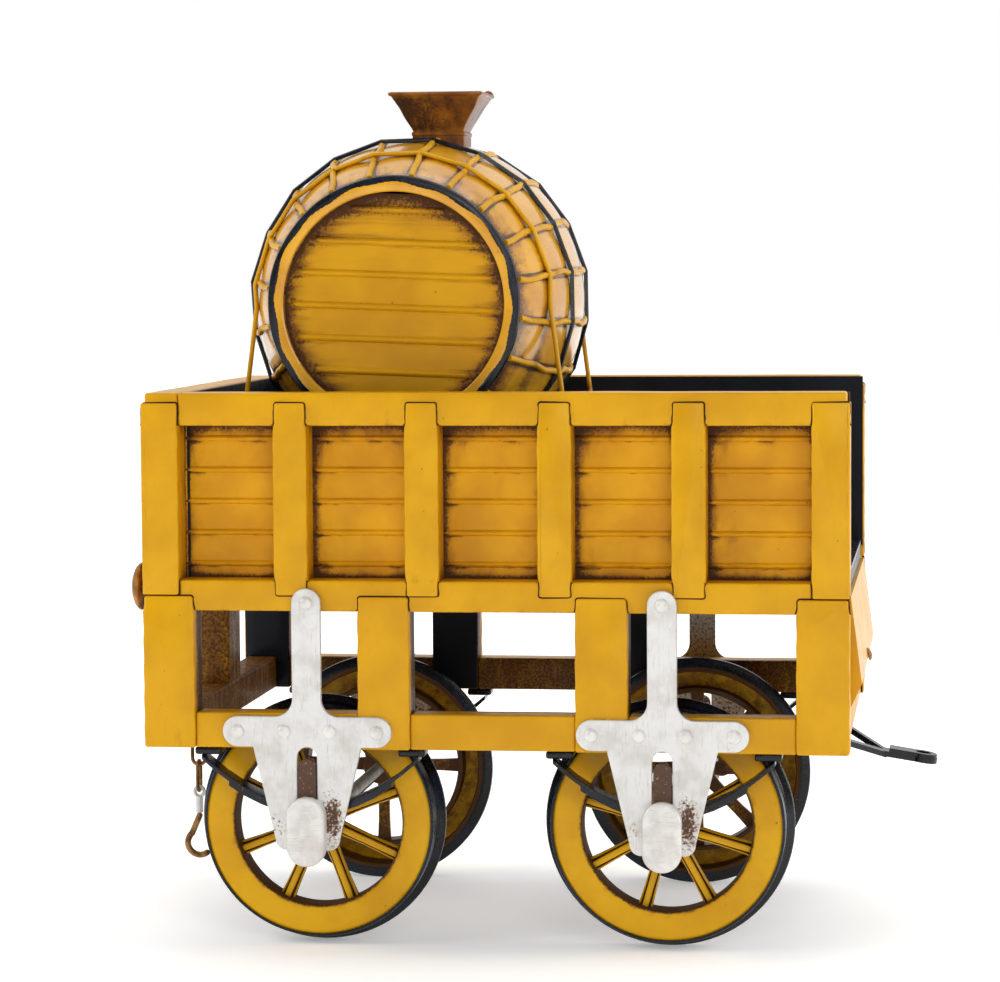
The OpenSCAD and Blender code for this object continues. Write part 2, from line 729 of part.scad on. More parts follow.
// bands over the barrel's upper half, with ends that run down to the bunker floor
module barrel_ties() {
    r = side_r(tie_y) + rib_clear + strap_t;
    lean = atan((tie_foot_x - r) / barrel_z);
    leg_h = barrel_z / cos(lean);
    color(paint) for (y = [-tie_y, tie_y]) {
        intersection() {
            at_barrel() ring(y, tie_w, rib_clear, strap_t);
            translate([axis_x - 2 * r, y - tie_w, axis_z]) cube([4 * r, 2 * tie_w, 2 * r]);
        }
        for (s = [-1, 1]) translate([axis_x, y - tie_w / 2, axis_z]) mirror([s < 0 ? 1 : 0, 0, 0]) {
            translate([r, 0, 0]) rotate([0, -lean, 0]) translate([-strap_t, 0, 0.3 - leg_h])
                cube([strap_t, tie_w, leg_h]);
            translate([tie_foot_x - 1.8, -1, -barrel_z]) cube([3, tie_w + 2, 1]);
        }
    }
}

// two saddles on the bunker floor, cut to the barrel
module barrel_cradle() {
    lift = side_r(cradle_y - cradle_t / 2) + rib_clear + 0.1;
    saddle_h = barrel_z - 24;
    color(old_paint) for (y = [-cradle_y, cradle_y]) difference() {
        translate([axis_x - cradle_half, y - cradle_t / 2, floor_top_z])
            cube([2 * cradle_half, cradle_t, saddle_h]);
        translate([axis_x, y - cradle_t, axis_z]) along_y() cylinder(r = lift, h = 2 * cradle_t);
    }
}

// funnel with four flat sides, a folded rim, a knob at one corner and a neck into the barrel
module hopper() {
    knob_r = 1.4;
    rim_z = hopper_h - hopper_rim;
    module cone(w0, w1, z0, z1) hull() {
        translate([-w0 / 2, -w0 / 2, z0]) cube([w0, w0, 0.01]);
        translate([-w1 / 2, -w1 / 2, z1 - 0.01]) cube([w1, w1, 0.01]);
    }
    rim_w_out = hopper_w - 2 * 0.4;
    color(bronze) at_hopper() difference() {
        union() {
            translate([0, 0, -3.5]) cylinder(r = hole_r, h = 4);
            translate([-hopper_base_w / 2, -hopper_base_w / 2, 0])
                cube([hopper_base_w, hopper_base_w, 1.2]);
            cone(hopper_base_w - 1, rim_w_out, 1.1, rim_z + 0.2);
            translate([-hopper_w / 2, -hopper_w / 2, rim_z]) cube([hopper_w, hopper_w, hopper_rim]);
        }
        cone(hopper_base_w - 1 - 2 * hopper_wall, rim_w_out - 2 * hopper_wall, 1.6, hopper_h + 0.01);
        translate([0, 0, -5]) cylinder(r = hole_r - hopper_wall, h = 8);
    }
    color(bronze) at_hopper()
        translate([hopper_w / 2 - knob_r, hopper_w / 2 - knob_r, hopper_h]) dome(knob_r, 1.1);
}

// ---- couplings ----

// pin across under the front beam, held in two ears
module drawbar_bracket() {
    ear_t = 1.2;
    ear_y = drawbar_spread + 1.5 + clear_gap;
    color(black) for (side = [-1, 1]) on_side(side) translate([pivot_x, ear_y, pivot_z]) {
        along_y() cylinder(r = 1.9, h = ear_t);
        translate([-1.9, 0, 0]) cube([3.8, ear_t, pivot_drop]);
        along_y() translate([0, 0, ear_t]) dome(1.7, 0.9);
    }
    color(black) translate([pivot_x, -ear_y - ear_t / 2, pivot_z]) along_y()
        cylinder(r = pivot_r, h = 2 * ear_y + ear_t);
}

// flat bar of a given half width between two points of a plane
module strut(p, q, half) {
    n = [p[1] - q[1], q[0] - p[0]] / norm(q - p) * half;
    polygon([p + n, q + n, q - n, p - n]);
}

// children on the drawbar's sloping bar, with x = 0 where the legs meet
module at_bar() rotate([0, leg_slope, 0]) translate([leg_l, 0, 0])
    rotate([0, bar_slope - leg_slope, 0]) children();

// outline of the bar from a distance along it to its rounded end
module bar_outline(start, end_r) {
    bar_w = 6.4;
    translate([start, -bar_w / 2]) square([bar_l - drawbar_end_r - start, bar_w]);
    translate([bar_l - drawbar_end_r, 0]) circle(r = end_r);
}

module drawbar() {
    layer_t = 0.9;
    color(black) translate([pivot_x, 0, pivot_z]) difference() {
        union() {
            for (s = [-1, 1]) translate([0, s * drawbar_spread - 1.5, 0]) along_y()
                cylinder(r = 2.1, h = 3);
            rotate([0, leg_slope, 0]) translate([0, 0, -bar_t / 2]) linear_extrude(bar_t)
                for (s = [-1, 1])
                    strut([0.6, s * (drawbar_spread - 0.4)], [leg_l + 0.4, s * 1.6], 1.35);
            at_bar() translate([0, 0, -bar_t / 2]) linear_extrude(bar_t)
                bar_outline(-0.8, drawbar_end_r);
            at_bar() translate([0, 0, -bar_t / 2]) linear_extrude(bar_t + layer_t)
                bar_outline(1.6, drawbar_end_r - 0.2);
        }
        at_bar() translate([bar_l - drawbar_end_r, 0, -bar_t]) cylinder(r = eye_r, h = 4 * bar_t);
        translate([0, -drawbar_spread - 3, 0]) along_y()
            cylinder(r = pivot_r + running_gap, h = 2 * drawbar_spread + 6);
    }
}

// ring of wire round the Y axis
module wire_ring(r, wire) along_y() rotate_extrude() translate([r, 0]) circle(r = wire / 2);

module chain_eye() {
    color(bronze) translate([eye_x, 0, eye_z]) {
        wire_ring(eye_ring_r, link_wire);
        translate([eye_ring_r, 0, 0]) rotate([0, 90, 0]) cylinder(r = 1.3, h = link_wire / 2);
    }
}

// oval link of round wire in the XZ plane, centred on the origin
module link() {
    bend = (link_w - link_wire) / 2;
    straight = link_l - link_wire - 2 * bend;
    for (s = [-1, 1]) {
        translate([0, 0, s * straight / 2]) rotate([90, 0, 0]) rotate([0, 0, s < 0 ? 180 : 0])
            rotate_extrude(angle = 180) translate([bend, 0]) circle(r = link_wire / 2);
        translate([s * bend, 0, -straight / 2]) cylinder(r = link_wire / 2, h = straight);
    }
}

module chain_link(n) {
    color(bronze) translate([eye_x, 0, link_top_z - n * link_pitch])
        rotate([0, 0, n % 2 == 0 ? 90 : 0]) link();
}
module chain_link_top() chain_link(0);
module chain_link_middle() chain_link(1);
module chain_link_bottom() chain_link(2);

// bright collar between the chain and the hook, with the eye that the chain bears on
module hook_collar() {
    color(bare) translate([eye_x, 0, collar_eye_z]) {
        wire_ring(eye_ring_r, link_wire);
        translate([0, 0, -eye_ring_r - collar_h]) cylinder(r = collar_r, h = collar_h);
    }
}

module coupling_hook() {
    start = 130;
    sweep = 175;
    drop = 8;
    top = [0, 0, -hook_wire / 2 - 0.05];
    head = [hook_r * cos(start), 0, hook_r * sin(start) - drop];
    color(bronze) translate([eye_x, 0, hook_top_z]) {
        translate(top) sphere(r = hook_wire / 2);
        translate(head) rotate([0, atan2(top[0] - head[0], top[2] - head[2]), 0])
            cylinder(r = hook_wire / 2, h = norm(top - head));
        translate(head) sphere(r = hook_wire / 2);
        translate([0, 0, -drop]) rotate([90, 0, 0]) rotate([0, 0, start])
            rotate_extrude(angle = sweep) translate([hook_r, 0]) circle(r = hook_wire / 2);
        translate([hook_r * cos(start + sweep), 0, hook_r * sin(start + sweep) - drop])
            sphere(r = hook_wire / 2);
    }
}

side_panel_left();
side_panel_right();
rear_panel();
floor_plate();
top_rail_left();
top_rail_right();
top_rail_rear();
bottom_rail_left();
bottom_rail_right();
bottom_rail_rear();
bottom_rail_front();
side_posts_left();
side_posts_right();
rear_posts();
underframe_posts_left();
underframe_posts_right();
lower_rail_left();
lower_rail_right();
headstock_rear();
headstock_front();
front_apron();
front_bolt();
buffers();
axle_guard_rear_left();
axle_guard_rear_right();
axle_guard_front_left();
axle_guard_front_right();
guard_rivets();
spring_pads();
leaf_springs_rear();
leaf_springs_front();
axle_box_rear_left();
axle_box_rear_right();
axle_box_front_left();
axle_box_front_right();
wheel_rear_left();
wheel_rear_right();
wheel_front_left();
wheel_front_right();
tyres_rear();
tyres_front();
axle_rear();
axle_front();
barrel_shell();
barrel_head_left();
barrel_head_right();
barrel_ribs();
barrel_hoops();
barrel_ties();
barrel_cradle();
hopper();
drawbar_bracket();
drawbar();
chain_eye();
chain_link_top();
chain_link_middle();
chain_link_bottom();
hook_collar();
coupling_hook();
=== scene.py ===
"""Painted tinplate railway tender: finished surfaces and materials on the CAD frame."""
import bmesh
import bpy
import math
import numpy as np
from mathutils import Matrix, Vector


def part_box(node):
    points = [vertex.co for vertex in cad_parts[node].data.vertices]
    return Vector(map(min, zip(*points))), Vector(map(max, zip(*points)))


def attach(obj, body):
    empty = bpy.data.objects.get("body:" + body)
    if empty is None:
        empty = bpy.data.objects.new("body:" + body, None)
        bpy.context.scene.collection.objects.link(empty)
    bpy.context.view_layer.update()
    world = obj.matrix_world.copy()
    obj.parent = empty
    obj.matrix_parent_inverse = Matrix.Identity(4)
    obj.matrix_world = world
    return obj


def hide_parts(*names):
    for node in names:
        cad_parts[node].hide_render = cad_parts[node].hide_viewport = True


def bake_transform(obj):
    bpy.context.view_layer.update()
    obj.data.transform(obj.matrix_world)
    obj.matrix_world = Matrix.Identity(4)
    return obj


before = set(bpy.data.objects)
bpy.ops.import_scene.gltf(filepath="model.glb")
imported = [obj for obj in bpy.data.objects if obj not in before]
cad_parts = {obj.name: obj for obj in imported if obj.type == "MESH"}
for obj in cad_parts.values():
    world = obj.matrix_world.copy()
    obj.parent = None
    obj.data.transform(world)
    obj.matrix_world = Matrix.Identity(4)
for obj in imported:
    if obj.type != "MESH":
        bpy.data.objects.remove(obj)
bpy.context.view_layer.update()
MM = 0.001

# ---------------------------------------------------------------- reading the frame


def points_of(node):
    """Corner points of a CAD node's triangles in mm, three rows to a triangle."""
    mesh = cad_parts[node].data
    co = np.empty(len(mesh.vertices) * 3)
    mesh.vertices.foreach_get("co", co)
    index = np.empty(len(mesh.loops), dtype=np.int64)
    mesh.loops.foreach_get("vertex_index", index)
    return co.reshape(-1, 3)[index] / MM


def corners(node):
    """Lowest and highest corner of a CAD node in mm."""
    low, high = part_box(node)
    return np.array(low) / MM, np.array(high) / MM


def solids(node):
    """Boxes (lowest, highest corner, mm) of a node's separate solids, in order of x, then y."""
    points = points_of(node)
    _, ids = np.unique(np.round(points, 3), axis=0, return_inverse=True)
    ids = ids.reshape(-1, 3)
    label = np.arange(ids.max() + 1)
    while True:
        low = label[ids].min(axis=1)
        new = label.copy()
        np.minimum.at(new, ids.ravel(), np.repeat(low, 3))
        new = new[new]
        if (new == label).all():
            break
        label = new
    part = label[ids[:, 0]]
    boxes = []
    for k in np.unique(part):
        own = points.reshape(-1, 3, 3)[part == k].reshape(-1, 3)
        boxes.append((own.min(axis=0), own.max(axis=0)))
    return sorted(boxes, key=lambda b: (round(b[0][0], 1), b[0][1]))


def outlines(node, axis, value):
    """Closed outlines of a node's flat faces that lie in the plane where the axis has this value."""
    tris = points_of(node).reshape(-1, 3, 3)
    flat = tris[np.abs(tris[:, :, axis] - value).max(axis=1) < 0.01]
    keep = [k for k in range(3) if k != axis]
    unique, ids = np.unique(np.round(flat.reshape(-1, 3)[:, keep], 4), axis=0, return_inverse=True)
    ids = ids.reshape(-1, 3)
    edges = {(int(t[k]), int(t[(k + 1) % 3])) for t in ids for k in range(3)}
    follow = {a: b for a, b in edges if (b, a) not in edges}
    loops = []
    while follow:
        start, here = follow.popitem()
        loop = [start]
        while here != start:
            loop.append(here)
            here = follow.pop(here)
        loops.append(unique[loop])
    return loops


def faces_y(low, high):
    """Side of the middle plane that a box lies on, and the y of its outer and of its inner face."""
    return (1, high[1], low[1]) if high[1] > 0 else (-1, low[1], high[1])


# ---------------------------------------------------------------- making meshes


def build(name, shells, material, body, nodes=(), tone=None, angle=40):
    """One piece from shells of (points in mm, faces). tone gives each point's paint values, nodes are the CAD nodes it
    stands for, and body, where one is given, is the body the piece is attached to."""
    points = np.concatenate([s[0] for s in shells])
    faces, base = [], 0
    for own, own_faces in shells:
        faces += [[int(i) + base for i in f] for f in own_faces]
        base += len(own)
    mesh = bpy.data.meshes.new(name)
    mesh.from_pydata((points * MM).tolist(), [], faces)
    work = bmesh.new()
    work.from_mesh(mesh)
    bmesh.ops.recalc_face_normals(work, faces=work.faces)
    work.to_mesh(mesh)
    work.free()
    values = np.zeros((len(points), 3)) if tone is None else tone(points)
    layer = mesh.attributes.new("tone", "FLOAT_VECTOR", "POINT")
    layer.data.foreach_set("vector", np.ascontiguousarray(values, dtype=np.float32).ravel())
    mesh.shade_smooth()
    mesh.set_sharp_from_angle(angle=math.radians(angle))
    mesh.materials.append(material)
    piece = bpy.data.objects.new(name, mesh)
    bpy.context.scene.collection.objects.link(piece)
    if nodes:
        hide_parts(*nodes)
    if body:
        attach(piece, body)
    return piece


def tones(p, patina=0, bare=0, black=0):
    """Three paint values for each point: rubbed patina with painted shade, bare edge with painted highlight, black
    paint with the painted shade of holes.
    """
    return np.stack([np.zeros(len(p)) + value for value in (patina, bare, black)], 1)


def ripple(points, size, phase=0.0):
    """Smooth unevenness between -1 and 1: five sine waves of about one size in mm, in set directions."""
    turns = np.array([[1, 0.3, 0.2], [-0.4, 1, 0.5], [0.3, -0.6, 1], [0.8, 0.7, -0.5], [-0.7, 0.2, 0.9]])
    waves = points @ (turns.T * (2 * math.pi / size)) + phase * np.array([1.0, 2.3, 3.1, 4.7, 5.9])
    return np.sin(waves).mean(axis=1) * 1.6


def rounded_box(low, high, r, step=3.0, dent=0.06, phase=0.0):
    """Box with rounded edges: each point is an inner box's nearest point plus r along the unit offset, less
    a slight unevenness."""
    low, high = np.array(low, float), np.array(high, float)
    r = min(r, (high - low).min() * 0.49)
    arc = r * np.tan(np.radians([45, 30, 15]))
    axes = []
    for k in range(3):
        count = max(2, int(round((high[k] - low[k] - 2 * r) / step)) + 1)
        flat = np.linspace(low[k] + r, high[k] - r, count)
        axes.append(np.concatenate([low[k] + r - arc, flat, high[k] - r + arc[::-1]]))
    all_points, all_faces, base = [], [], 0
    for k in range(3):
        u, v = [a for a in range(3) if a != k]
        for end in (low[k], high[k]):
            grid_u, grid_v = np.meshgrid(axes[u], axes[v], indexing="ij")
            p = np.empty(grid_u.shape + (3,))
            p[..., u], p[..., v], p[..., k] = grid_u, grid_v, end
            all_points.append(p.reshape(-1, 3))
            all_faces.append(lattice(*grid_u.shape) + base)
            base += grid_u.size
    points = np.concatenate(all_points)
    inner = np.clip(points, low + r, high - r)
    out = points - inner
    out /= np.linalg.norm(out, axis=1)[:, None]
    points = inner + out * (r - dent * (0.5 + 0.5 * ripple(inner, 23.0, phase)))[:, None]
    return weld(points, np.concatenate(all_faces))


def lattice(n, m, wrap_u=False, wrap_v=False):
    """Quads of an n by m grid of points, closed in either direction if wrapped."""
    i = np.arange(n if wrap_u else n - 1)[:, None]
    j = np.arange(m if wrap_v else m - 1)[None, :]
    i1, j1 = (i + 1) % n, (j + 1) % m
    return np.stack([(i * m + j), (i1 * m + j), (i1 * m + j1), (i * m + j1)], axis=-1).reshape(-1, 4)


def tube(rings, n):
    """Faces of a tube of rings of n points each, closed at both ends."""
    faces = lattice(rings, n, wrap_v=True).tolist()
    return faces + [list(range(n)), [(rings - 1) * n + k for k in range(n)]]


def weld(points, faces):
    """The same surface with points at one place made one, and faces of no area left out."""
    _, first, ids = np.unique(np.round(points, 4), axis=0, return_index=True, return_inverse=True)
    out = []
    for f in ids.ravel()[np.asarray(faces)]:
        f = [int(a) for k, a in enumerate(f) if a != f[k - 1]]
        if len(set(f)) > 2:
            out.append(f)
    return points[first], out


def inset(outline, amount):
    """A closed outline moved inwards: each point goes along the mean of its two edges' inward normals."""
    area = np.sum(outline[:, 0] * np.roll(outline[:, 1], -1) - np.roll(outline[:, 0], -1) * outline[:, 1])
    turn = 1.0 if area > 0 else -1.0
    edge = np.roll(outline, -1, axis=0) - outline
    edge /= np.linalg.norm(edge, axis=1)[:, None] + 1e-12
    normal = turn * np.stack([-edge[:, 1], edge[:, 0]], axis=1)
    before = np.roll(normal, 1, axis=0)
    mean = (normal + before) / (1 + np.sum(normal * before, axis=1))[:, None]
    return outline + mean * amount


def plate(outline, back, front, r, axis=1):
    """Flat plate across an axis with a rounded front edge: the outline carried from back to front, drawn in
    along a quarter circle of radius r."""
    outline = thin_out(np.asarray(outline, float))
    sign = 1.0 if front > back else -1.0
    rings = [(0.0, back)]
    for a in np.radians([0, 22, 45, 68, 90]):
        rings.append((r * (1 - math.cos(a)), front - sign * r * (1 - math.sin(a))))
    layers = [np.insert(inset(outline, amount), axis, depth, axis=1) for amount, depth in rings]
    return np.concatenate(layers), tube(len(rings), len(outline))


def thin_out(outline, least=0.05):
    """An outline without points that lie closer together than a least distance."""
    keep = [0]
    for k in range(1, len(outline)):
        if np.linalg.norm(outline[k] - outline[keep[-1]]) > least:
            keep.append(k)
    if np.linalg.norm(outline[keep[-1]] - outline[0]) <= least:
        keep.pop()
    return outline[keep]


def turned(profile, centre, steps=128, wave=None, side=1):
    """Surface of revolution about Y: profile rows of (radius, y), mirrored if side is -1, on a circle about
    (x, z) of the centre; wave moves (radius, y) with the angle."""
    profile = np.asarray(profile, float)
    angle = np.linspace(0, 2 * math.pi, steps, endpoint=False)[:, None]
    r, y = profile[None, :, 0], side * profile[None, :, 1]
    r, y = np.repeat(r, steps, axis=0), np.repeat(y, steps, axis=0)
    if wave is not None:
        dr, dy = wave(angle)
        r, y = r + dr, y + dy
    points = np.stack([centre[0] + r * np.cos(angle), y, centre[1] + r * np.sin(angle)], axis=-1)
    return points.reshape(-1, 3), lattice(steps, profile.shape[0], True, True).tolist()


def disc_profile(rows):
    """Profile that starts and ends on the axis, nudged off it by a hair so that its ends close."""
    rows = np.asarray(rows, float)
    rows[:, 0] = np.maximum(rows[:, 0], 0.002)
    return rows


def swept(path, side, section):
    """Section rows of (along the side direction, along the normal) carried along a path; the normal is
    tangent x side."""
    path, side = np.asarray(path, float), np.asarray(side, float)
    tangent = np.gradient(path, axis=0)
    tangent /= np.linalg.norm(tangent, axis=1)[:, None]
    sides = np.broadcast_to(side, path.shape)
    sides = sides - tangent * np.sum(sides * tangent, axis=1)[:, None]
    sides = sides / np.linalg.norm(sides, axis=1)[:, None]
    normal = np.cross(tangent, sides)
    section = np.asarray(section, float)
    if section.ndim == 2:
        section = np.broadcast_to(section, (len(path),) + section.shape)
    points = path[:, None] + sides[:, None] * section[..., :1] + normal[:, None] * section[..., 1:]
    return points.reshape(-1, 3), tube(*points.shape[:2])


def round_section(r, steps=12, flat=1.0):
    """Circle of radius r in steps, squeezed along its second direction."""
    a = np.linspace(0, 2 * math.pi, steps, endpoint=False)
    return np.stack([r * np.cos(a), r * flat * np.sin(a)], axis=1)


def dome(centre, axis, r, h, steps=28):
    """Low dome: a circle of radius r that shrinks along a quarter ellipse of height h."""
    axis = np.asarray(axis, float) / np.linalg.norm(axis)
    u = np.cross(axis, [0.3, 0.5, 0.81])
    u /= np.linalg.norm(u)
    v = np.cross(axis, u)
    rise = np.radians([0, 18, 36, 54, 72, 86])
    a = np.linspace(0, 2 * math.pi, steps, endpoint=False)
    ring = np.cos(a)[:, None] * u + np.sin(a)[:, None] * v
    points = [np.asarray(centre) + r * math.cos(t) * ring + h * math.sin(t) * axis for t in rise]
    return np.concatenate(points), tube(len(rise), steps)


def fade(distance, reach):
    """1 at no distance, falling to about a third at the reach."""
    return np.exp(-np.maximum(distance, 0) / reach)


# ---------------------------------------------------------------- materials


def linear(colour):
    """Linear RGBA of an sRGB hex colour."""
    parts = [int(colour[k:k + 2], 16) / 255 for k in (1, 3, 5)]
    return [p / 12.92 if p <= 0.04045 else ((p + 0.055) / 1.055) ** 2.4 for p in parts] + [1.0]


def add(tree, kind, inputs, out=0, **settings):
    """A shader node with its settings and its inputs, by number or name: a socket is linked and a plain
    value is set."""
    node = tree.nodes.new("ShaderNode" + kind)
    for key, value in settings.items():
        setattr(node, key, value)
    for key, value in inputs.items():
        if isinstance(value, bpy.types.NodeSocket):
            tree.links.new(value, node.inputs[key])
        else:
            node.inputs[key].default_value = value
    return node.outputs[out]


def coat_over(tree, under, value, low, high, share, colour):
    """A colour laid over what is under it, by a share, where a value rises from low to high."""
    cover = add(tree, "MapRange", {0: value, 1: low, 2: high, 4: share}, interpolation_type="SMOOTHSTEP")
    return add(tree, "Mix", {0: cover, 6: under, 7: linear(colour)}, 2, data_type="RGBA")


def new_material(name):
    """An empty node material, with the place in the object and the piece's own tone values."""
    material = bpy.data.materials.new(name)
    material.use_nodes = True
    tree = material.node_tree
    tree.nodes.clear()
    place = add(tree, "TexCoord", {}, "Object")
    tone = add(tree, "Attribute", {}, "Vector", attribute_name="tone")
    return material, tree, place, [add(tree, "SeparateXYZ", {0: tone}, k) for k in range(3)]


def surfaced(material, inputs):
    """The material with its shader, given these inputs, led to the output."""
    tree = material.node_tree
    surface = add(tree, "BsdfPrincipled", inputs)
    tree.links.new(surface, tree.nodes.new("ShaderNodeOutputMaterial").inputs[0])
    return material


def enamel(name, light, deep, patina, rough=0.3, stain=0.0, brush=(1, 1, 1), specks=0.5, coat=0.06):
    """Oil enamel on tinplate, laid on by brush: a soft gloss that wavers along the strokes, umber patina and painted
    shade rubbed into the corners where the tone says, fine dark specks, and chips that show the pale ground, which
    also serve as painted highlight where the tone says."""
    material, tree, place, tone = new_material(name)
    along = add(tree, "Mapping", {"Vector": place, "Scale": brush})
    # 16 mm clouds of thin and thick paint, 1.6 mm bristle marks, 0.6 mm orange peel, 3 mm rubbed patina
    clouds = add(tree, "TexNoise", {"Vector": place, "Scale": 1 / (16 * MM), "Detail": 4.0})
    strokes = add(tree, "TexNoise", {"Vector": along, "Scale": 1 / (1.6 * MM), "Detail": 4.0, "Roughness": 0.6})
    fine = add(tree, "TexNoise", {"Vector": place, "Scale": 1 / (0.6 * MM), "Detail": 3.0, "Roughness": 0.6})
    rub = add(tree, "TexNoise", {"Vector": along, "Scale": 1 / (3 * MM), "Detail": 5.0, "Roughness": 0.65,
                                 "Distortion": 0.4})
    base = coat_over(tree, linear(light), clouds, 0.34, 0.68, 1.0, deep)
    base = coat_over(tree, base, strokes, 0.5, 0.8, 0.35, deep)
    # the first tone value lays on patina and painted shade, the second pale chips and painted highlight, the third
    # black paint and the painted shade of holes
    amount = add(tree, "Math", {0: tone[0], 1: stain}, operation="ADD")
    rubbed = add(tree, "Math", {0: rub, 1: 1.5, 2: amount}, operation="MULTIPLY_ADD")
    base = coat_over(tree, base, rubbed, 1.0, 1.7, 0.8, patina)
    speckled = add(tree, "Math", {0: fine, 1: 1.5, 2: amount}, operation="MULTIPLY_ADD")
    base = coat_over(tree, base, speckled, 1.35, 1.75, 0.8, "#2A140C")
    # specks of dirt 0.2 to 0.5 mm across, in drifts 6 mm wide
    spot = add(tree, "TexVoronoi", {"Vector": place, "Scale": 1 / (3 * MM), "Randomness": 1.0})
    drift = add(tree, "TexNoise", {"Vector": place, "Scale": 1 / (6 * MM), "Detail": 2.0})
    size = add(tree, "MapRange", {0: drift, 1: 0.5, 2: 0.78, 4: 0.13}, interpolation_type="SMOOTHSTEP")
    dots = add(tree, "Math", {0: size, 1: spot}, operation="SUBTRACT")
    base = coat_over(tree, base, dots, -0.01, 0.02, specks, "#3A1C0C")
    # pale chips, which on the rail edges and on the hopper's right-hand face are painted highlight
    chips = add(tree, "Math", {0: tone[1], 1: fine}, operation="ADD")
    base = coat_over(tree, base, chips, 1.02, 1.14, 0.8, "#F0DFA0")
    blackened = add(tree, "Math", {0: fine, 1: 0.3, 2: tone[2]}, operation="MULTIPLY_ADD")
    base = coat_over(tree, base, blackened, 0.58, 0.7, 1.0, "#0C1018")
    dull = add(tree, "MapRange", {0: rubbed, 1: 0.4, 2: 1.7, 3: rough - 0.05, 4: rough + 0.32})
    height = add(tree, "Math", {0: clouds, 1: 1.6, 2: strokes}, operation="MULTIPLY_ADD")
    height = add(tree, "Math", {0: fine, 1: 0.25, 2: height}, operation="MULTIPLY_ADD")
    bump = add(tree, "Bump", {"Strength": 0.5, "Distance": 0.09 * MM, "Height": height})
    return surfaced(material, {"Base Color": base, "Roughness": dull, "Normal": bump, "Coat Weight": coat,
                               "Coat Roughness": 0.12, "IOR": 1.48, "Specular IOR Level": 0.2})


def black_enamel(name, rough, worn):
    """Black stoving enamel with a blue cast: near-mirror streaks of light on its edges, dusty brown in places, and
    worn through to another colour along the edges that hands touch, a wear that on the tyres is partly a painted
    highlight."""
    material, tree, place, tone = new_material(name)
    clouds = add(tree, "TexNoise", {"Vector": place, "Scale": 1 / (9 * MM), "Detail": 4.0})
    fine = add(tree, "TexNoise", {"Vector": place, "Scale": 1 / (0.8 * MM), "Detail": 4.0, "Roughness": 0.65})
    base = coat_over(tree, linear("#05070B"), clouds, 0.42, 0.7, 1.0, "#121A2A")
    dust = add(tree, "Math", {0: fine, 1: 1.6, 2: tone[0]}, operation="MULTIPLY_ADD")
    base = coat_over(tree, base, dust, 1.35, 1.9, 0.7, "#4E3420")
    edge = add(tree, "Math", {0: fine, 1: 1.6, 2: tone[1]}, operation="MULTIPLY_ADD")
    base = coat_over(tree, base, edge, 1.3, 1.5, 1.0, worn)
    dull = add(tree, "MapRange", {0: dust, 1: 0.5, 2: 1.9, 3: rough - 0.06, 4: rough + 0.35})
    height = add(tree, "Math", {0: fine, 1: 0.3, 2: clouds}, operation="MULTIPLY_ADD")
    bump = add(tree, "Bump", {"Strength": 0.5, "Distance": 0.1 * MM, "Height": height})
    return surfaced(material, {"Base Color": base, "Roughness": dull, "Normal": bump, "IOR": 1.5,
                               "Specular IOR Level": 0.35})


def silvered(name, light, deep, rust, strokes_x=1.0):
    """Aluminium bronzing paint over tinplate: a satin sheen with no mirror in it, grey brush smears, hair
    scratches, and rust that breaks through in grains where the tone says."""
    material, tree, place, tone = new_material(name)
    clouds = add(tree, "TexNoise", {"Vector": place, "Scale": 1 / (6 * MM), "Detail": 5.0, "Roughness": 0.6})
    fine = add(tree, "TexNoise", {"Vector": place, "Scale": 1 / (0.7 * MM), "Detail": 5.0, "Roughness": 0.7})
    along = add(tree, "Mapping", {"Vector": place, "Rotation": (0, 0.3, 0),
                                  "Scale": (strokes_x, 1, 1.1 - strokes_x)})
    hair = add(tree, "TexNoise", {"Vector": along, "Scale": 1 / (0.4 * MM), "Detail": 3.0, "Roughness": 0.6})
    base = coat_over(tree, linear(light), clouds, 0.4, 0.72, 1.0, deep)
    base = coat_over(tree, base, hair, 0.56, 0.74, 0.4, "#A39A8E")
    grains = add(tree, "Math", {0: fine, 1: 2.2, 2: tone[0]}, operation="MULTIPLY_ADD")
    base = coat_over(tree, base, grains, 1.55, 1.85, 0.8, "#8E5E2E")
    base = coat_over(tree, base, grains, 1.72, 1.95, 0.9, "#43240F")
    spot = add(tree, "TexNoise", {"Vector": place, "Scale": 1 / (1.3 * MM), "Detail": 4.0, "Roughness": 0.7})
    base = coat_over(tree, base, spot, 0.72 - 0.08 * rust, 0.76, 0.6, "#6E5238")
    metal = add(tree, "MapRange", {0: grains, 1: 1.5, 2: 1.85, 3: 0.3, 4: 0.0})
    dull = add(tree, "MapRange", {0: grains, 1: 0.8, 2: 1.9, 3: 0.34, 4: 0.75})
    height = add(tree, "Math", {0: hair, 1: 0.4, 2: clouds}, operation="MULTIPLY_ADD")
    height = add(tree, "Math", {0: fine, 1: 0.3, 2: height}, operation="MULTIPLY_ADD")
    bump = add(tree, "Bump", {"Strength": 0.45, "Distance": 0.12 * MM, "Height": height})
    return surfaced(material, {"Base Color": base, "Metallic": metal, "Roughness": dull, "Normal": bump})


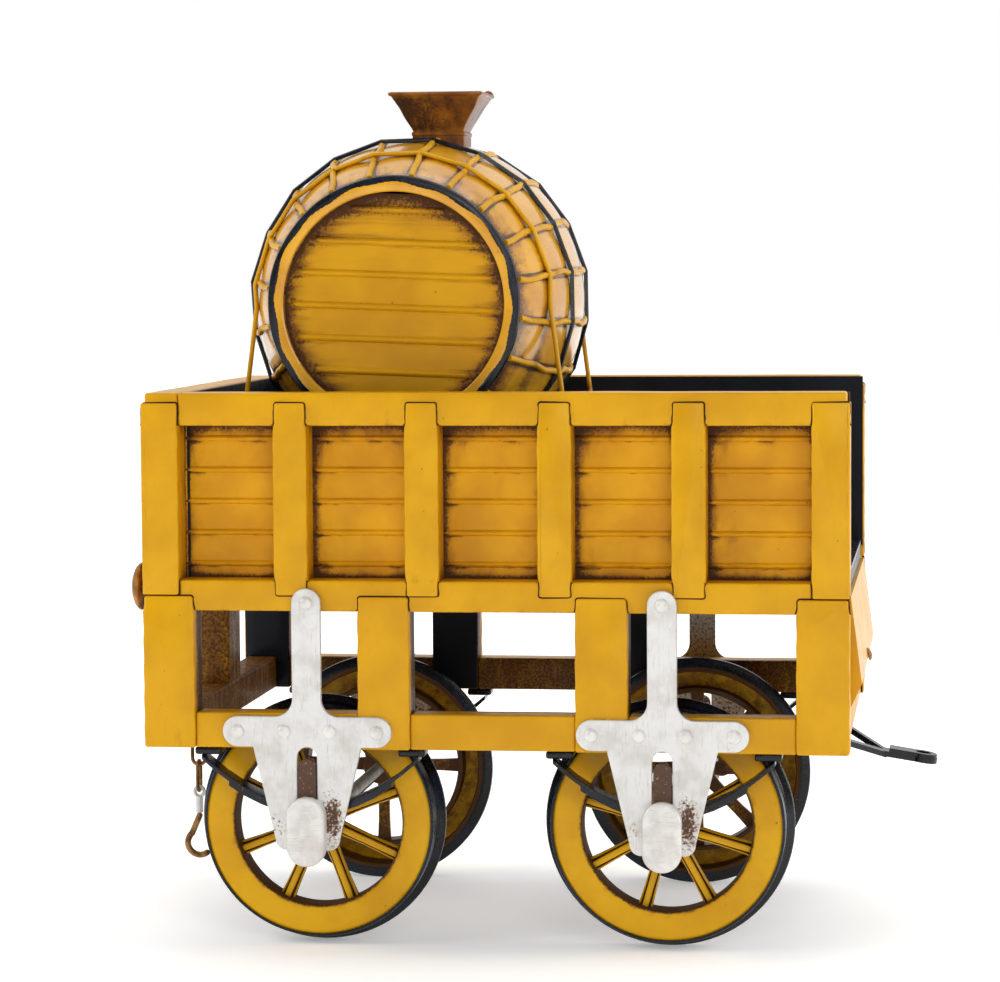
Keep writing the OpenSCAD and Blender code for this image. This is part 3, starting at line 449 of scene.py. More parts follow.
def browned(name, light, dark, metallic):
    """Old brass, browned and rubbed warm in patches: a metal's tinted shine, broken into 2.6 mm clouds and 0.5 mm
    grains."""
    material, tree, place, _ = new_material(name)
    clouds = add(tree, "TexNoise", {"Vector": place, "Scale": 1 / (2.6 * MM), "Detail": 5.0, "Roughness": 0.6})
    fine = add(tree, "TexNoise", {"Vector": place, "Scale": 1 / (0.5 * MM), "Detail": 4.0, "Roughness": 0.7})
    mix = add(tree, "Math", {0: fine, 1: 0.4, 2: clouds}, operation="MULTIPLY_ADD")
    base = coat_over(tree, linear(dark), mix, 0.52, 0.86, 1.0, light)
    base = coat_over(tree, base, fine, 0.6, 0.76, 0.8, "#2C160C")
    dull = add(tree, "MapRange", {0: fine, 1: 0.3, 2: 0.7, 3: 0.28, 4: 0.6})
    bump = add(tree, "Bump", {"Strength": 0.6, "Distance": 0.1 * MM, "Height": mix})
    return surfaced(material, {"Base Color": base, "Metallic": metallic, "Roughness": dull, "Normal": bump})


YELLOW = enamel("chrome_yellow_enamel", "#D69E04", "#C89005", "#70380E", brush=(1, 1, 0.35))
OCHRE = enamel("ochre_enamel_brushed", "#DEA206", "#C88A06", "#6A3610", 0.34, 0.0, (0.5, 1, 0.25))
STAVE = enamel("stave_enamel_patina_and_painted_shade", "#DCA012", "#C48712", "#6A3A14", 0.26, 0.04, (1, 0.3, 1), coat=0.9)
HEAD = enamel("head_enamel_brushed", "#CC9404", "#BC8404", "#5C2A12", 0.34, 0.0, (0.15, 1, 1))
SPOKE = enamel("wheel_enamel", "#DEA808", "#CE9606", "#6A3810", 0.28, 0.0)
SEAM = enamel("seam_grime", "#3A200C", "#221208", "#120A06", 0.5, 0.5, specks=0.2, coat=0.0)
HOPPER = enamel("hopper_enamel_patina_and_painted_light", "#9A5E18", "#5A3010", "#20100A", 0.3, 0.3, (1, 1, 0.4), coat=0.3)
BLACK = black_enamel("blue_black_enamel", 0.24, "#B8862A")
# the tyres' pale worn edges are partly a painted highlight
TYRE = black_enamel("tyre_enamel", 0.22, "#D8D4CC")
SILVER = silvered("aluminium_bronzing", "#DEDDDB", "#CAC6C1", 0.4, 1.0)
SILVER_WORN = silvered("aluminium_bronzing_worn", "#E6E4E1", "#CFCAC4", 0.8, 0.1)
STEEL = silvered("axle_steel_dulled", "#B4B2AE", "#7A746C", 0.6)
BRONZE = browned("browned_brass", "#A67C4C", "#5C3A1E", 0.8)
BUFFER = browned("buffer_brass", "#B47C34", "#6A4018", 0.65)

# ---------------------------------------------------------------- bunker and underframe

rail_low, rail_high = corners("top_rail_right")
foot_low, foot_high = corners("bottom_rail_right")
rear_high = corners("rear_panel")[1]
posts = solids("side_posts_right")
rear_posts = sorted(solids("rear_posts"), key=lambda b: b[0][1])
post_face = -posts[0][0][1]
wall_inner = -corners("side_panel_right")[1][1]
post_gaps = [(posts[k][1][0], posts[k + 1][0][0]) for k in range(len(posts) - 1)]
rear_edges = [-rear_high[1]] + [v for b in rear_posts for v in (b[0][1], b[1][1])] + [rear_high[1]]
rear_gaps = [(rear_edges[k], rear_edges[k + 1]) for k in range(0, len(rear_edges), 2)]

BEAD_RISE, BEAD_W, BEAD_COUNT, BEAD_PITCH = 0.7, 1.5, 5, 7.6
bay_mid = (foot_high[2] + rail_low[2]) / 2
bead_heights = bay_mid + (np.arange(BEAD_COUNT) - (BEAD_COUNT - 1) / 2) * BEAD_PITCH


def bead_section(flat, inner, low, high):
    """Upright section of a wall, rows of (distance out, height): each bead rises over the outer face
    by BEAD_RISE (1 - off^2), where off is the share of its half width, and the inner face is flat."""
    z = [np.linspace(low, high, 60)] + [bead + np.linspace(-1, 1, 13) * BEAD_W / 2 for bead in bead_heights]
    z = np.unique(np.round(np.concatenate(z), 3))
    off = np.abs(z[:, None] - bead_heights[None]).min(axis=1) / (BEAD_W / 2)
    out = flat + BEAD_RISE * np.clip(1 - off ** 2, 0, 1)
    back = np.linspace(high, low, 24)
    return np.concatenate([np.stack([out, z], 1), np.stack([np.full(24, inner), back], 1)])


def bay_patina_and_shade(along, height, gaps):
    """Brown patina and painted shade in a bay: darker against the posts and rails, a painted shadow of the post over
    the start of the bay, painted shade under the top rail and along the foot, a rust line just above the foot, and a
    broken line of painted shadow under each bead.
    """
    edge = np.min([np.minimum(np.abs(along - a), np.abs(along - b)) for a, b in gaps], axis=0)
    start = np.min([np.abs(along - a) for a, b in gaps], axis=0)
    top, foot = rail_low[2] - height, height - foot_high[2]
    under = np.min([np.abs(height - (bead - BEAD_W / 2 - 0.1)) for bead in bead_heights], axis=0)
    broken = np.clip(np.sin(along * 0.41 + height * 1.7) + 0.6 * np.sin(along * 1.13 + height), 0, 1)
    value = 0.7 * fade(edge, 1.1) + 0.5 * fade(start, 4.5) + 1.05 * fade(top, 2.6) + 1.2 * fade(foot, 1.0)
    value = value + 0.3 * fade(np.abs(foot - 3.2), 0.3) + (0.15 + 0.65 * broken) * fade(under, 0.28)
    return np.clip(value, 0, 1.3)


def wall(node, out_axis, side, past_ends, steps, dent, phase, gaps):
    """A wall of the bunker: the bead section carried along it, less a ripple of up to the dent, and run
    a little past both ends into the corner posts. Its inner face is black."""
    low, high = corners(node)
    along_axis = 1 - out_axis
    inner, outer = sorted([abs(low[out_axis]), abs(high[out_axis])])
    section = bead_section(outer - BEAD_RISE, inner, foot_high[2] - 0.4, high[2] - 0.3)
    grid = np.empty((steps, len(section), 3))
    start, end = low[along_axis] - past_ends[0], high[along_axis] + past_ends[1]
    grid[..., along_axis] = np.linspace(start, end, steps)[:, None]
    grid[..., out_axis] = side * section[None, :, 0]
    grid[..., 2] = section[None, :, 1]
    points = grid.reshape(-1, 3)
    points[:, out_axis] -= side * dent * (0.5 + 0.5 * ripple(points, 21.0, phase))

    def tone(p):
        dark = side * p[:, out_axis] < (outer - BEAD_RISE + inner) / 2 - 0.1
        return tones(p, bay_patina_and_shade(p[:, along_axis], p[:, 2], gaps) * (1 - dark), 0, dark)
    build(node + "_sheet", [(points, tube(steps, len(section)))], OCHRE, "frame", [node], tone, 50)


wall("side_panel_right", 1, -1, (0.6, 0.5), 150, 0.12, -1, post_gaps)
wall("side_panel_left", 1, 1, (0.6, 0.5), 150, 0.12, 1, post_gaps)
wall("rear_panel", 0, -1, (0.6, 0.6), 100, 0.1, 4.0, rear_gaps)


def rail_tone(p):
    """Light patina with painted shade on the undersides and on the underframe's inner parts, pale worn edges that are
    partly a painted highlight, and black inside the bunker.
    """
    x, y, z = p[:, 0], np.abs(p[:, 1]), p[:, 2]
    under = np.maximum(fade(np.abs(z - rail_low[2]), 0.5), fade(np.abs(z - foot_low[2]), 0.5))
    inner = (y < wall_inner + 0.2) & (z > foot_low[2]) & (x > rear_high[0] - 0.2)
    # painted shade on the rails' inner parts below the bunker
    underframe_shade = (z < foot_low[2] - 1) & (y < wall_inner + 3)
    heights = np.array([foot_low[2], foot_high[2], rail_low[2], rail_high[2]])
    # pale chips along the edges, partly a painted highlight of them
    edge = fade(np.abs(z[:, None] - heights).min(axis=1), 0.3) * (y > wall_inner + 8)
    return tones(p, 0.05 + 0.1 * (ripple(p, 31.0) > 0.7) + 0.45 * under + 0.8 * underframe_shade, 0.4 * edge, inner)


for rail in ("top_rail_left", "top_rail_right", "top_rail_rear", "bottom_rail_left", "bottom_rail_right",
             "bottom_rail_rear", "bottom_rail_front", "lower_rail_left", "lower_rail_right"):
    fold, name = (0.7 if "top" in rail else 0.55), rail + "_folded"
    shells = [rounded_box(*box, fold, 2.5, 0.07, k * 1.7 + len(name)) for k, box in enumerate(solids(rail))]
    build(name, shells, YELLOW, "frame", [rail], rail_tone)


def smooth(t):
    """Smooth step from 0 to 1: t^2 (3 - 2t)."""
    t = np.clip(t, 0, 1)
    return t ** 2 * (3 - 2 * t)


def tab_outline(low, high, z0, z1, join_low, join_high, pinch=0.45, r=0.5):
    """Face of a post: straight sides that draw in by the pinch where its tabs lap over the rails, with
    rounded ends."""
    z = np.unique(np.concatenate([np.linspace(z0, z1, 40), z0 + np.linspace(0, r, 7), z1 - np.linspace(0, r, 7)]))
    lap = 1 - smooth((z - join_low + 0.6) / 1.4) + smooth((z - join_high + 0.8) / 1.4)
    width = (high - low) / 2 - pinch * lap
    ends = np.clip(r - np.minimum(z - z0, z1 - z), 0, r)
    width = width - (r - np.sqrt(np.maximum(r * r - ends * ends, 0))) + 0.06 * np.sin(z * 0.9 + low)
    mid = (low + high) / 2
    return np.concatenate([np.stack([mid + width, z], 1), np.stack([mid - width, z], 1)[::-1]])


SKIN = 0.8          # how far a post's face stands out from the post behind it
FAR = 999           # a height past every piece
TAB_ENDS = ((rail_low[2] + 0.15, FAR), (-FAR, foot_high[2] - 0.15))


def seams(face, out, sign, axis, spans=TAB_ENDS, r=0.03):
    """Dark lines round a tab: its face grown by 0.18 to 0.42 mm, cut off at two heights, on the sheet under it."""
    ring = thin_out(face)
    waver = ripple(np.column_stack([ring, ring[:, 0]]), 2.3)[:, None]
    grown = inset(ring, -0.3) + (inset(ring, -0.12) - ring) * waver
    shells = []
    for z_from, z_to in spans:
        line = grown.copy()
        line[:, 1] = np.clip(line[:, 1], z_from, z_to)
        shells.append(plate(thin_out(line), out - sign * (SKIN + 0.3), out - sign * (SKIN - 0.07), r, axis))
    return shells


def post_tone(p):
    """Patina where the tabs lap over the rails, and painted shade on the flanks."""
    laps = fade(np.abs(p[:, 2] - foot_high[2]), 0.8) + fade(np.abs(p[:, 2] - rail_low[2]), 0.8)
    return tones(p, 0.35 * laps + 0.4 * (np.abs(p[:, 1]) < post_face - 1.2))


CORNER_POST_LEAST = 8.5
for node in ("side_posts_left", "side_posts_right"):
    shells, lines = [], []
    for k, (low, high) in enumerate(solids(node)):
        side, out, back = faces_y(low, high)
        wide = high[0] - low[0] > CORNER_POST_LEAST
        y_from, y_to = sorted([back, out - side * SKIN])
        shells.append(rounded_box([low[0] + 0.05, y_from, foot_high[2] - 0.3],
                                  [high[0] - 0.05, y_to, rail_low[2] + 0.3], 0.4, 3, 0.05, k))
        face = tab_outline(low[0], high[0], low[2], high[2], foot_high[2], rail_low[2], 0.2 if wide else 0.45)
        shells.append(plate(face, out - side * (SKIN + 0.3), out, 0.4))
        lines += seams(face, out, side, 1)
        if wide:
            end_x, sign = (low[0], -1) if k == 0 else (high[0], 1)
            face = tab_outline(low[1], high[1], low[2], high[2], foot_high[2], rail_low[2], 0.15)
            shells.append(plate(face, end_x - sign * (SKIN + 0.2), end_x, 0.3, 0))
    build(node + "_folded", shells, YELLOW, "frame", [node], post_tone)
    build(node + "_seams", lines, SEAM, "frame")

shells, lines = [], []
for k, (low, high) in enumerate(rear_posts):
    shells.append(rounded_box([low[0] + SKIN, low[1], foot_high[2] - 0.3],
                              [high[0], high[1], rail_low[2] + 0.3], 0.4, 3, 0.05, k))
    face = tab_outline(low[1], high[1], low[2], high[2], foot_high[2], rail_low[2])
    shells.append(plate(face, low[0] + SKIN + 0.3, low[0], 0.4, 0))
    lines += seams(face, low[0], -1, 0)
build("rear_posts_folded", shells, YELLOW, "frame", ["rear_posts"])
build("rear_posts_seams", lines, SEAM, "frame")

leg_inner = corners("underframe_posts_left")[0][1]
leg_foot = foot_low[2] - 33


def leg_tone(p):
    """Brown painted shade inwards of the face between the corner legs, grimed feet, and black painted shade on the
    innermost faces.
    """
    between = (p[:, 0] > posts[0][0][0] + 0.7) & (p[:, 0] < posts[-1][1][0] - 0.7)
    inner = np.clip((post_face - 1.0 - np.abs(p[:, 1])) / 3, 0, 1) * between
    return tones(p, inner + 0.3 * fade(p[:, 2] - leg_foot, 1.2), 0, np.abs(p[:, 1]) < leg_inner + 0.1)


for node in ("underframe_posts_left", "underframe_posts_right"):
    shells, lines = [], []
    for k, (low, high) in enumerate(solids(node)):
        side, out, back = faces_y(low, high)
        y_from, y_to = sorted([back, out - side * 0.25])
        shells.append(rounded_box([low[0], y_from, low[2]], [high[0], y_to, foot_low[2] + 0.2],
                                  0.5, 3, 0.06, k))
        face = tab_outline(low[0], high[0], low[2], high[2], low[2] - 3, foot_low[2] + 0.8, 0.3, 0.6)
        shells.append(plate(face, out - side * (SKIN + 0.2), out, 0.45))
        lines += seams(face, out, side, 1, ((foot_low[2] + 0.3, FAR),), 0.02)
    build(node + "_folded", shells, YELLOW, "frame", [node], leg_tone)
    build(node + "_seams", lines, SEAM, "frame")

CENTRE_POST = 14.0
beam_top = corners("lower_rail_left")[1][2]
for node in ("headstock_rear", "headstock_front"):
    low, high = corners(node)
    post_low, post_high = [low[0], -CENTRE_POST / 2, beam_top - 0.3], [high[0], CENTRE_POST / 2, high[2]]
    shells = [rounded_box(low, [high[0], high[1], beam_top], 0.6, 3, 0.07, low[0]),
              rounded_box(post_low, post_high, 0.5, 3, 0.06, low[0])]

    def beam_tone(p, outer_x=high[0] if "front" in node else low[0]):
        """Nearly clean on the outer face, and darker on the rest with painted shade."""
        return tones(p, np.where(np.abs(p[:, 0] - outer_x) < 0.4, 0.15, 0.8))
    build(node + "_folded", shells, OCHRE, "frame", [node], beam_tone)

# ---------------------------------------------------------------- front apron, bolt and buffers

low, high = corners("front_apron")
apron = plate(outlines("front_apron", 1, high[1])[0], low[1], high[1], 0.3)
build("front_apron_folded", [apron], YELLOW, "frame", ["front_apron"])
low, high = corners("front_bolt")
bolt = dome([low[0] + 0.25, (low[1] + high[1]) / 2, (low[2] + high[2]) / 2], [1, 0, 0.3], 1.75, 1.1)
build("front_bolt_head", [bolt], BRONZE, "frame", ["front_bolt"])

shells = []
for low, high in solids("buffers"):
    r = (high[2] - low[2]) / 2
    rows = [(0, high[0]), (3.2, high[0]), (3.2, high[0] - 0.7), (2.0, high[0] - 0.9), (1.9, high[0] - 3.0),
            (2.3, low[0] + 3.4), (r - 0.6, low[0] + 3.0), (r - 0.1, low[0] + 2.6), (r, low[0] + 2.2),
            (r - 0.25, low[0] + 1.75), (r * 0.85, low[0] + 1.15), (r * 0.6, low[0] + 0.5),
            (r * 0.3, low[0] + 0.12), (0, low[0])]
    points, faces = turned(disc_profile(rows), (0, 0), 48)
    lying = points[:, [1, 0, 2]] + [0, (low[1] + high[1]) / 2, (low[2] + high[2]) / 2]
    shells.append((lying, faces))
build("buffer_heads", shells, BUFFER, "frame", ["buffers"], None, 35)

# ---------------------------------------------------------------- running gear

CORNERS = [f"{end}_{hand}" for end in ("rear", "front") for hand in ("left", "right")]


def gridded(points, faces, step=1.2):
    """A plate cut along lines of constant x and z, so that its faces carry points and tones can vary over it."""
    work = bmesh.new()
    verts = [work.verts.new(p) for p in points]
    for f in faces:
        work.faces.new([verts[i] for i in f])
    low, high = points.min(axis=0), points.max(axis=0)
    for axis in (0, 2):
        for at in np.arange(low[axis] + step, high[axis], step):
            normal = np.eye(3)[axis]
            bmesh.ops.bisect_plane(work, geom=work.verts[:] + work.edges[:] + work.faces[:], dist=1e-5,
                                   plane_co=(at * normal).tolist(), plane_no=normal.tolist())
    work.verts.index_update()
    out = np.array([v.co[:] for v in work.verts]), [[v.index for v in f.verts] for f in work.faces]
    work.free()
    return out


for corner in CORNERS:
    node = "axle_guard_" + corner
    side, front, back = faces_y(*corners(node))
    box_mid = np.mean(corners("axle_box_" + corner), axis=0)

    def guard_tone(p, mid=box_mid, front=front):
        """Rust in a drift on the leg before the box, specks on the other leg, and a line along the cut edge."""
        x, z = p[:, 0] - mid[0], p[:, 2] - mid[2]
        drift = np.exp(-((x - 6.0) / 3.0) ** 2 - ((z - 3.0) / 7.5) ** 2)
        other = np.exp(-((x + 7.0) / 2.6) ** 2 - ((z - 1.0) / 4.5) ** 2)
        return tones(p, 0.95 * drift + 0.5 * other + 0.5 * (np.abs(p[:, 1] - front) > 0.3))
    sheet = gridded(*plate(max(outlines(node, 1, front), key=len), back, front, 0.35))
    build(node + "_plate", [sheet], SILVER, "frame", [node], guard_tone)

shells, rivet_feet = [], []
for low, high in solids("guard_rivets"):
    side, _, foot = faces_y(low, high)
    centre = [(low[0] + high[0]) / 2, foot, (low[2] + high[2]) / 2]
    shells.append(dome(centre, [0, side, 0], (high[0] - low[0]) / 2, 0.88))
    rivet_feet.append(abs(foot))
build("guard_rivet_heads", shells, SILVER_WORN, "frame", ["guard_rivets"],
      lambda p: tones(p, 0.62 * fade(np.abs(np.abs(p[:, 1]) - max(rivet_feet)), 0.12)))

shells = [rounded_box(low, high, 0.7, 2, 0.05, low[0]) for low, high in solids("spring_pads")]
pad_foot = corners("spring_pads")[0][2]
build("spring_pads_cast", shells, BLACK, "frame", ["spring_pads"],
      lambda p: tones(p, 0.75 * fade(p[:, 2] - pad_foot, 0.35)))


def spring_tone(p):
    """Light worn through along the outer edges of the leaves."""
    return tones(p, 0, 0.3 * (np.abs(p[:, 1]) > 61))


# each spring is built as two halves cut at its middle, one with the rear pad end and one with the front, both left
# without a body
for end in ("rear", "front"):
    node = "leaf_springs_" + end
    for low, high in solids(node):
        side, front, back = faces_y(low, high)
        hand = "left" if side > 0 else "right"
        middle = (low[0] + high[0]) / 2
        loop = outlines(node, 1, front)[0]
        for part, sign in (("rear_half", -1), ("front_half", 1)):
            cut = np.where((loop[:, 0] - middle) * sign > -0.01)[0]
            gap = np.where(np.diff(cut) > 1)[0]
            if len(gap):
                cut = np.roll(cut, -(gap[0] + 1))
            piece = build(f"{node}_{hand}_{part}", [plate(loop[cut], back, front, 0.16)], BLACK, None,
                          [node], spring_tone)
            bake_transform(piece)

BOX_IN, BOX_OUT, BAR_IN, BAR_OUT, BAR_HALF, BAR_GAP = 55.2, 62.6, 61.6, 64.5, 2.15, 4.6
for corner in CORNERS:
    node, guard = "axle_box_" + corner, "axle_guard_" + corner
    side, front, _ = faces_y(*corners(node))
    mid = np.mean(corners(node), axis=0)
    cap = plate(max(outlines(node, 1, front), key=len), front - side * 3.2, front, 1.1)
    y_from, y_to = sorted([BOX_IN * side, BOX_OUT * side])
    block = rounded_box([mid[0] - 4.3, y_from, mid[2] - 3.2], [mid[0] + 4.3, y_to, mid[2] + 3.2], 0.4, 3, 0.03)
    # the bar in the guard's slot: straight sides and a half round top, a gap below the slot's own top
    guard_loop = max(outlines(guard, 1, faces_y(*corners(guard))[1]), key=len)
    slot_top = guard_loop[np.abs(guard_loop[:, 0] - mid[0]) < 1.2][:, 1].min()
    bar_z = np.linspace(mid[2] - 4.5, slot_top - BAR_GAP, 16)
    bend = np.radians(np.linspace(0, 180, 15))[1:-1]
    bar = np.concatenate([np.stack([np.full(16, mid[0] + BAR_HALF), bar_z], 1),
                          np.stack([mid[0] + BAR_HALF * np.cos(bend), bar_z[-1] + BAR_HALF * np.sin(bend)], 1),
                          np.stack([np.full(16, mid[0] - BAR_HALF), bar_z[::-1]], 1)])

    def box_tone(p, mid=mid):
        """Rust on the bar in the slot and in the corner behind the cap."""
        y = np.abs(p[:, 1])
        on_bar = (y < BAR_OUT + 0.1) & (np.abs(p[:, 0] - mid[0]) < BAR_HALF + 0.25)
        above = np.clip((p[:, 2] - mid[2] - 3) / 3, 0, 1) * on_bar
        return tones(p, 0.74 * above + 0.3 * fade(np.abs(y - BAR_OUT), 0.8))
    build(node + "_cap", [cap, block, plate(bar, side * BAR_IN, side * BAR_OUT, 0.2)], SILVER_WORN,
          corner.split("_")[0] + "_axle_boxes", [node], box_tone)

# ---------------------------------------------------------------- wheels

RIM_IN, RIM_OUT, HUB_R, SPOKES = 20.7, 27.8, 5.0, 8
SPOKE_GAP = 360 / SPOKES
TURN = {"wheel_rear_right": 21.0, "wheel_front_right": 29.0, "wheel_rear_left": 0.0, "wheel_front_left": 0.0}
for node, turn in TURN.items():
    low, high = corners(node)
    side, outer, inner = faces_y(low, high)
    outer, inner = abs(outer), abs(inner)
    centre = ((low[0] + high[0]) / 2, (low[2] + high[2]) / 2)
    rows = [(RIM_IN + 0.35, inner + 2.0), (RIM_IN, inner + 2.4), (RIM_IN, outer - 0.7), (RIM_IN + 0.25, outer - 0.25),
            (RIM_IN + 0.9, outer - 0.06), (RIM_IN + 2.2, outer), (RIM_IN + 3.8, outer), (RIM_IN + 5.4, outer - 0.05),
            (RIM_OUT - 0.9, outer - 0.15), (RIM_OUT - 0.25, outer - 0.35), (RIM_OUT, outer - 0.6), (RIM_OUT, inner),
            (RIM_OUT - 1.0, inner), (RIM_OUT - 1.3, inner + 0.4), (RIM_OUT - 1.3, outer - 1.6),
            (RIM_IN + 1.4, outer - 1.6), (RIM_IN + 1.3, inner + 2.2)]
    shells = [turned(rows, centre, 160, lambda a: (0.05 * np.sin(3 * a + turn), 0 * a), side)]
    # a spoke: a flat bar, slimmest at half its length, with a groove on each side of a raised ridge
    radii = np.linspace(HUB_R - 1.5, RIM_IN + 0.6, 14)
    section = []
    for half in 1.8 - 0.35 * np.sin(np.linspace(0, math.pi, 14)):
        right = [(half, 0), (half, 1.5), (half * 0.8, 1.9), (1.0, 1.5), (0.85, 1.7), (0.7, 2.75), (0.4, 2.95)]
        section.append([(-half, 0)] + right + [(-u, v) for u, v in right[:0:-1]])
    section = np.array(section) * [1, -side]
    for k in range(SPOKES):
        a = math.radians(turn + k * SPOKE_GAP)
        path = [centre[0], side * (inner + 3.8), centre[1]] + radii[:, None] * [math.cos(a), 0, math.sin(a)]
        shells.append(swept(path, [-math.sin(a), 0, math.cos(a)], section))
    hub = disc_profile([(0, inner), (HUB_R - 0.3, inner), (HUB_R, inner + 0.4), (HUB_R, outer - 2.4),
                        (HUB_R - 0.5, outer - 1.6), (HUB_R - 1.6, outer - 1.1), (0, outer - 1.0)])
    shells.append(turned(hub, centre, 48, None, side))

    def wheel_tone(p, centre=centre, outer=outer, turn=turn):
        """Patina and painted shade where the spokes meet the rim and hub and in the grooves, and painted shade in the
        rim's hollow and on the back of the wheel.
        """
        x, z = p[:, 0] - centre[0], p[:, 2] - centre[1]
        r, depth = np.hypot(x, z), outer - np.abs(p[:, 1])
        on_rim = r > RIM_IN - 0.3
        rim = 1.4 * fade(r - RIM_IN, 0.6) + 0.5 * (depth > 1.4) * (r < RIM_OUT - 0.9)
        angle = (np.degrees(np.arctan2(z, x)) - turn + SPOKE_GAP / 2) % SPOKE_GAP - SPOKE_GAP / 2
        groove = (np.abs(np.abs(r * np.sin(np.radians(angle))) - 0.95) < 0.2) & (r > HUB_R)
        spoke = 0.5 * fade(RIM_IN - r, 1.4) + 0.6 * fade(r - HUB_R, 1.8) + 1.2 * groove
        return tones(p, np.where(on_rim, rim, spoke) + 0.9 * (depth > 5.6) + 0.5 * (depth > 7))
    build(node + "_spoked", shells, SPOKE, node.split("_")[1] + "_wheelset", [node], wheel_tone, 38)

TREAD_FACE, FLANGE_EDGE = 50.5, 42.4


def tyre_tone(p):
    """Pale wear at the tread's outer edge and on the flange, partly a painted highlight of those edges."""
    y = np.abs(p[:, 1])
    return tones(p, 0, 0.2 * (fade(np.abs(y - TREAD_FACE), 0.2) + fade(np.abs(y - FLANGE_EDGE), 0.3)))


for end in ("rear", "front"):
    shells = []
    for low, high in solids("tyres_" + end):
        side, outer, inner = faces_y(low, high)
        outer, inner = abs(outer), abs(inner)
        flange = (high[2] - low[2]) / 2
        tread = flange - 1.9
        rows = [(RIM_OUT - 0.02, inner), (flange - 0.5, inner), (flange - 0.12, inner + 0.15), (flange, inner + 0.6),
                (flange, inner + 1.3), (flange - 0.25, inner + 1.75), (tread + 0.4, inner + 2.2), (tread, inner + 2.8),
                (tread, outer - 0.5), (tread - 0.1, outer - 0.15), (tread - 0.35, outer), (RIM_OUT - 0.02, outer)]
        shells.append(turned(rows, ((low[0] + high[0]) / 2, (low[2] + high[2]) / 2), 160, None, side))
    build(f"tyres_{end}_turned", shells, TYRE, end + "_wheelset", ["tyres_" + end], tyre_tone, 45)

# ---------------------------------------------------------------- barrel

shell_low, shell_high = corners("barrel_shell")
hop_low, hop_high = corners("hopper")
hop_x = (hop_low[0] + hop_high[0]) / 2
HALF = shell_high[1]
shell_points = points_of("barrel_shell")
rim_points = shell_points[np.abs(shell_points[:, 1]) > HALF - 0.01]
AXIS = ((shell_low[0] + shell_high[0]) / 2, (rim_points[:, 2].max() + rim_points[:, 2].min()) / 2)
R_MID = (shell_high[0] - shell_low[0]) / 2
R_END = np.hypot(rim_points[:, 0] - AXIS[0], rim_points[:, 2] - AXIS[1]).max()
ARC = (HALF ** 2 + (R_MID - R_END) ** 2) / (2 * (R_MID - R_END))
HEAD_Y = HALF - 3.0
RIBS, RIB_STEP, RIB_PHASE, RIB_H = 20, 18.0, 10.5, 0.75


def side_r(y):
    """Radius of the barrel's side: a circle's arc over its length, R_MID - ARC + sqrt(ARC^2 - y^2)."""
    return R_MID - ARC + np.sqrt(ARC ** 2 - np.asarray(y) ** 2)


def shell_tone(p):
    """Brown streaks of patina and painted shade beside the ribs and hoops, most near the ends, and painted shade over
    the lower half; a ragged black lip, and the filler hole painted black as its painted shade.
    """
    y, r = np.abs(p[:, 1]), np.hypot(p[:, 0] - AXIS[0], p[:, 2] - AXIS[1])
    angle = np.degrees(np.arctan2(p[:, 2] - AXIS[1], p[:, 0] - AXIS[0]))
    off = np.abs((angle - RIB_PHASE + RIB_STEP / 2) % RIB_STEP - RIB_STEP / 2) * math.radians(1) * R_MID
    value = 1.1 * fade(np.abs(off - 1.0), 0.25) + 0.35 * fade(off - 0.6, 1.5)
    for hoop in (16, 31, 44):
        value = value + 0.4 * fade(np.abs(y - hoop) - 1.4, 1.2)
    # painted shade over the lower half of the barrel, and more streaks near the ends
    value = value + 0.35 * np.clip(-np.sin(np.radians(angle)), 0, 1) + 0.3 * (y > 38)
    lip = (y > HALF - 0.7) & (r < R_END + 0.1)
    ragged = R_END - 0.35 - 0.45 * np.sin(np.radians(angle) * 5 + 0.6) * np.sin(np.radians(angle) * 11)
    # black over the filler hole under the hopper: painted shade of the opening
    hole = (np.hypot(p[:, 0] - hop_x, p[:, 1]) < 5) & (p[:, 2] > AXIS[1])
    return tones(p, np.where(lip, 0.05, value), 0, (lip & (r > ragged)) | hole)


# the staves' outer arc, a rounded lip of six narrow rings, and the inside as far as the heads
lip = [(R_END - 0.15 * k, HALF) for k in range(1, 7)]
lip += [(R_END - 2.1, HALF - 0.15), (R_END - 2.4, HALF - 0.5), (R_END - 2.4, HEAD_Y + 0.02)]
profile = [(side_r(y), y) for y in np.linspace(-HALF, HALF, 61)] + lip + [(r, -y) for r, y in lip[::-1]]
build("barrel_staves", [turned(profile, AXIS, 720)], STAVE, "frame", ["barrel_shell"], shell_tone, 40)

HEAD_R, BEAD_END, HEAD_BEAD, HEAD_TURN = R_END - 2.3, R_END - 3.8, 0.9, math.radians(2.3)
head_beads = 3.0 + (np.arange(6) - 2.5) * 7.9


def head_tone(p):
    """Patina and painted shade round the edge, where the head sits back in the rim, more at the top, fine lines of
    painted shadow under each bead and fine dark lines over it.
    """
    x, h = p[:, 0] - AXIS[0], p[:, 2] - AXIS[1]
    x, h = x * math.cos(HEAD_TURN) - h * math.sin(HEAD_TURN), h * math.cos(HEAD_TURN) + x * math.sin(HEAD_TURN)
    r = np.hypot(x, h)
    under = np.min([np.abs(h - (b - 1.2)) for b in head_beads], axis=0)
    over = np.min([np.abs(h - (b + 1.1)) for b in head_beads], axis=0)
    value = 1.15 * fade(HEAD_R - r, 3.2) + (0.4 * fade(under, 0.4) + 0.3 * fade(over, 0.5)) * (r < BEAD_END)
    return tones(p, value + 0.25 * np.clip(h / HEAD_R, 0, 1))


